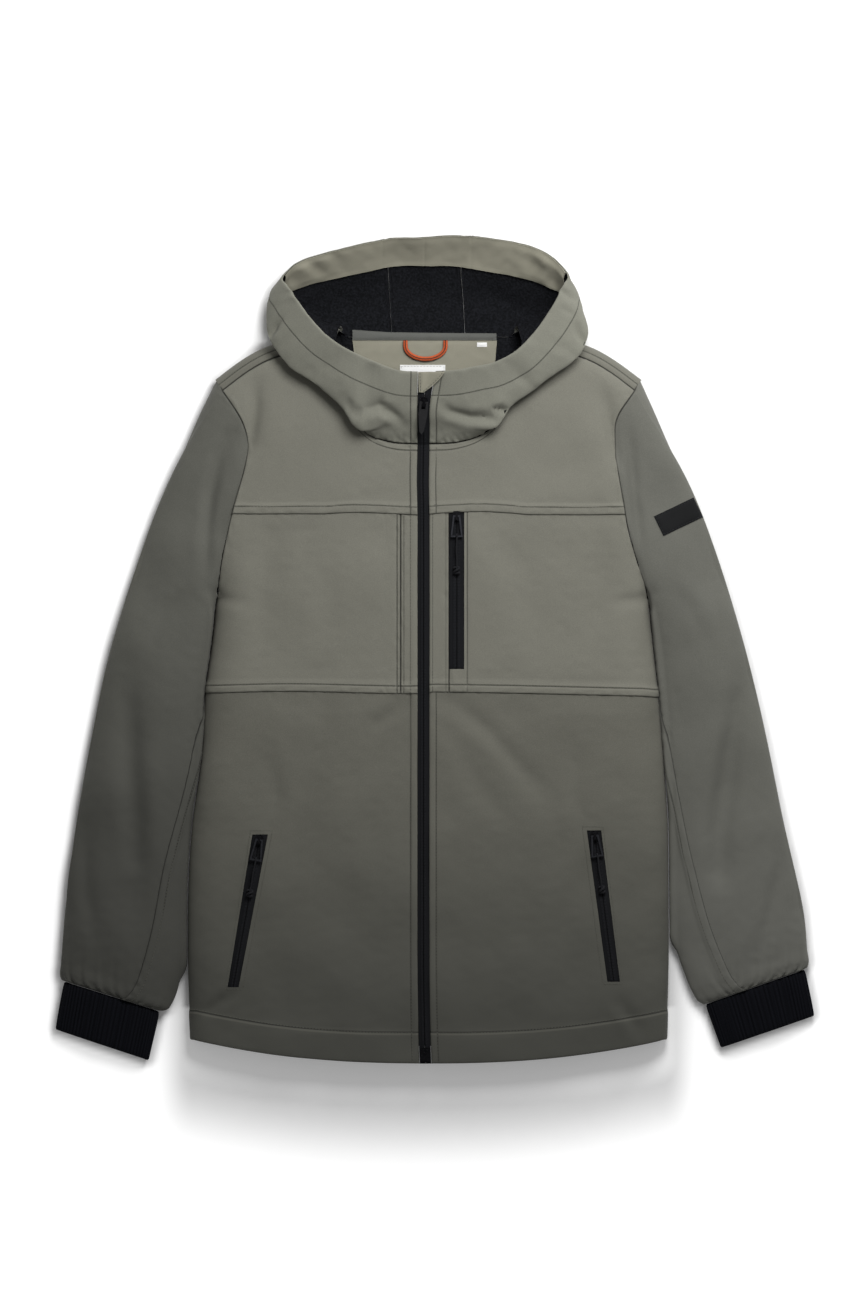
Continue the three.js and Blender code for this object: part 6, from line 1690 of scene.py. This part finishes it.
# %% Rows of stitches, seam by seam
for name, at_zip, at_seam, strip_row in (("r", "start", "end", PLACKET), ("l", "end", "start", SEAM_ROW)):
    hood_side = f"hood_side_{name}_cloth"
    sew(f"stitches_waist_{name}", [(f"chest_{name}", "bottom", LAP_BAND, 0, 0.97),
                                   (f"front_strip_{name}", "bottom", LAP_BAND)])
    sew(f"stitches_yoke_{name}", [(f"yoke_{name}", "bottom", LAP_BAND)])
    sew(f"stitches_front_{name}", [(f"lower_front_{name}", "start", PLACKET),
                                   (f"yoke_{name}", "start", PLACKET),
                                   (f"front_strip_{name}", "start", strip_row),
                                   (hood_side, at_zip, PLACKET)])
    sew(f"stitches_hem_{name}", [(f"lower_front_{name}", "bottom", HEM_STITCH + 1.6, 0.02, 0.86)])
    sew(f"stitches_neck_{name}", [(f"yoke_{name}", "top", NECK_BAND, 0, 0.42)])
    sew(f"stitches_underarm_{name}", [(f"sleeve_lower_{name}", "start", LAP_BAND, 0.3, 1)])
    sew(f"stitches_hood_{name}", [(hood_side, "top", HOOD_RIM_LINE), (hood_side, at_seam, SEAM_ROW)])
sew("stitches_strip_seam", [("chest_r", "start", SEAM_ROW), ("front_strip_r", "end", SEAM_ROW),
                            ("chest_l", "start", CHEST_ZIP_ROW, 0.1, 1)])
sew("stitches_hood_centre", [("hood_centre_cloth", "top", HOOD_RIM_LINE),
                             ("hood_centre_cloth", "start", SEAM_ROW),
                             ("hood_centre_cloth", "end", SEAM_ROW)])
sew("stitches_back", [("back_panel", "bottom", HEM_STITCH, 0.1, 0.9),
                      ("back_panel", "top", LAP_BAND, 0.02, 0.26), ("back_panel", "top", LAP_BAND, 0.74, 0.98)])
sew("stitches_facing", [("neck_facing_cloth", "bottom", 1.8), ("neck_tape_cloth", "bottom", 1.4)])
sew("stitches_label", [("blank_label", edge, 1.4) for edge in ("start", "end", "top", "bottom")],
    THREAD_PALE)
sew("stitches_badge", [("bare_badge", edge, 1.5) for edge in EDGES], THREAD_DARK)
sew("stitches_flap", [("chin_flap_cloth", "end", 2.0), ("chin_flap_cloth", "start", 2.0)])


# %% Stitches round the pocket slots
SLOT_MARGIN, ABOVE_ALL = 0.011, 60


def slot_line(side, u_in, u_out, v_low, v_high):
    """The outline of a slot as one closed line on the lower front's finished surface."""
    points = PANELS[f"lower_front_{side.name}"].points
    tree = BVHTree.FromPolygons([tuple(p) for p in points.reshape(-1, 3)], grid_faces(points.shape).tolist())
    t = np.linspace(0, 1, 60)
    few = t[::6]
    u = np.concatenate([lerp(u_in, u_out, few), 0 * t + u_out, lerp(u_out, u_in, few), 0 * t + u_in])
    v = np.concatenate([0 * few + v_low, lerp(v_low, v_high, t), 0 * few + v_high, lerp(v_high, v_low, t)])
    plan = lower_surface(side)(u, v)
    line, normal = [], []
    for point in plan:
        place, way, _, _ = tree.ray_cast(Vector((point[0], point[1], ABOVE_ALL)), Vector((0, 0, -1)))
        line.append(tuple(place) if place else tuple(point))
        normal.append((way.x, way.y, way.z) if way and way.z > 0 else (0, 0, 1))
    return np.array(line), unit(np.array(normal))


for side in (RIGHT, LEFT):
    sew(f"stitches_pocket_{side.name}",
        [slot_line(side, SLOT_START - SLOT_MARGIN, SLOT_STOP + SLOT_MARGIN, 0.242, 0.708)])

# %% [markdown]
# ## The floor
# The floor is stage, not part of the jacket.

# %% Floor
FLOOR_Z, FLOOR_PITCH = -0.0004, 0.004
far = np.array([0.6, 0.75, 1.0, 1.6, 3.0, 6.0])
line_x, line_y = (np.concatenate([-far[::-1], np.arange(low, 0.501, FLOOR_PITCH), far]) for low in (-0.5, -0.56))
grid_x, grid_y = np.meshgrid(line_x, line_y)
floor_x, floor_y = grid_x.ravel(), grid_y.ravel()
outline = np.concatenate([panel.points.reshape(-1, 3)[::3, :2] * METRE for panel in PANELS.values()])
tree = kdtree.KDTree(len(outline))
for k, (x, y) in enumerate(outline):
    tree.insert((x, y, 0), k)
tree.balance()
clear = np.array([tree.find((x, y, 0))[2] for x, y in zip(floor_x, floor_y)])
# The floor glows, and the glow is painted light: it is dimmed close round the jacket so that real shadows show
# there, and lifted a little just below the hem, which paints that shadow paler.
below = hem_y(np.abs(floor_x) / METRE) * METRE - floor_y
before = (1 - smoothstep(np.abs(floor_x), 0.235, 0.275)) * (below > -0.1)
hem_shadow_glow = 0.4 * (1 - smoothstep(below, 0.02, 0.05)) * before * (below > -0.03)
in_the_open = smoothstep(clear, 0.001, 0.011) * (1 - before * (1 - smoothstep(below, 0.035, 0.12)))
spots = stack(floor_x, floor_y, FLOOR_Z) / METRE
glowing_floor = Finish("pale paper", 0.9, Emission_Strength=1.0)
x, y = glowing_floor.axis("X"), glowing_floor.axis("Y")
# Painted light: the glow also rises far from the middle, where the lamps' light falls off.
far_out = glowing_floor.ramp((x * x + y * y).power(0.5), 0.42, 0.8)
glowing_floor.feed(glowing_floor.shader.inputs["Emission Color"], glowing_floor.blend(
    glowing_floor.measure("lit") * 0.5 + far_out * 0.45, (0.03, 0.03, 0.03, 1), (1, 1, 1, 1)))
glowing_floor.colour(glowing_floor.blend(glowing_floor.noise(60, 3.0), (0.86, 0.86, 0.86, 1), (0.9, 0.9, 0.9, 1)))
make_mesh("floor", spots, grid_faces(grid_x.shape), [glowing_floor.material],
                   measures={"lit": np.maximum(hem_shadow_glow, in_the_open)})
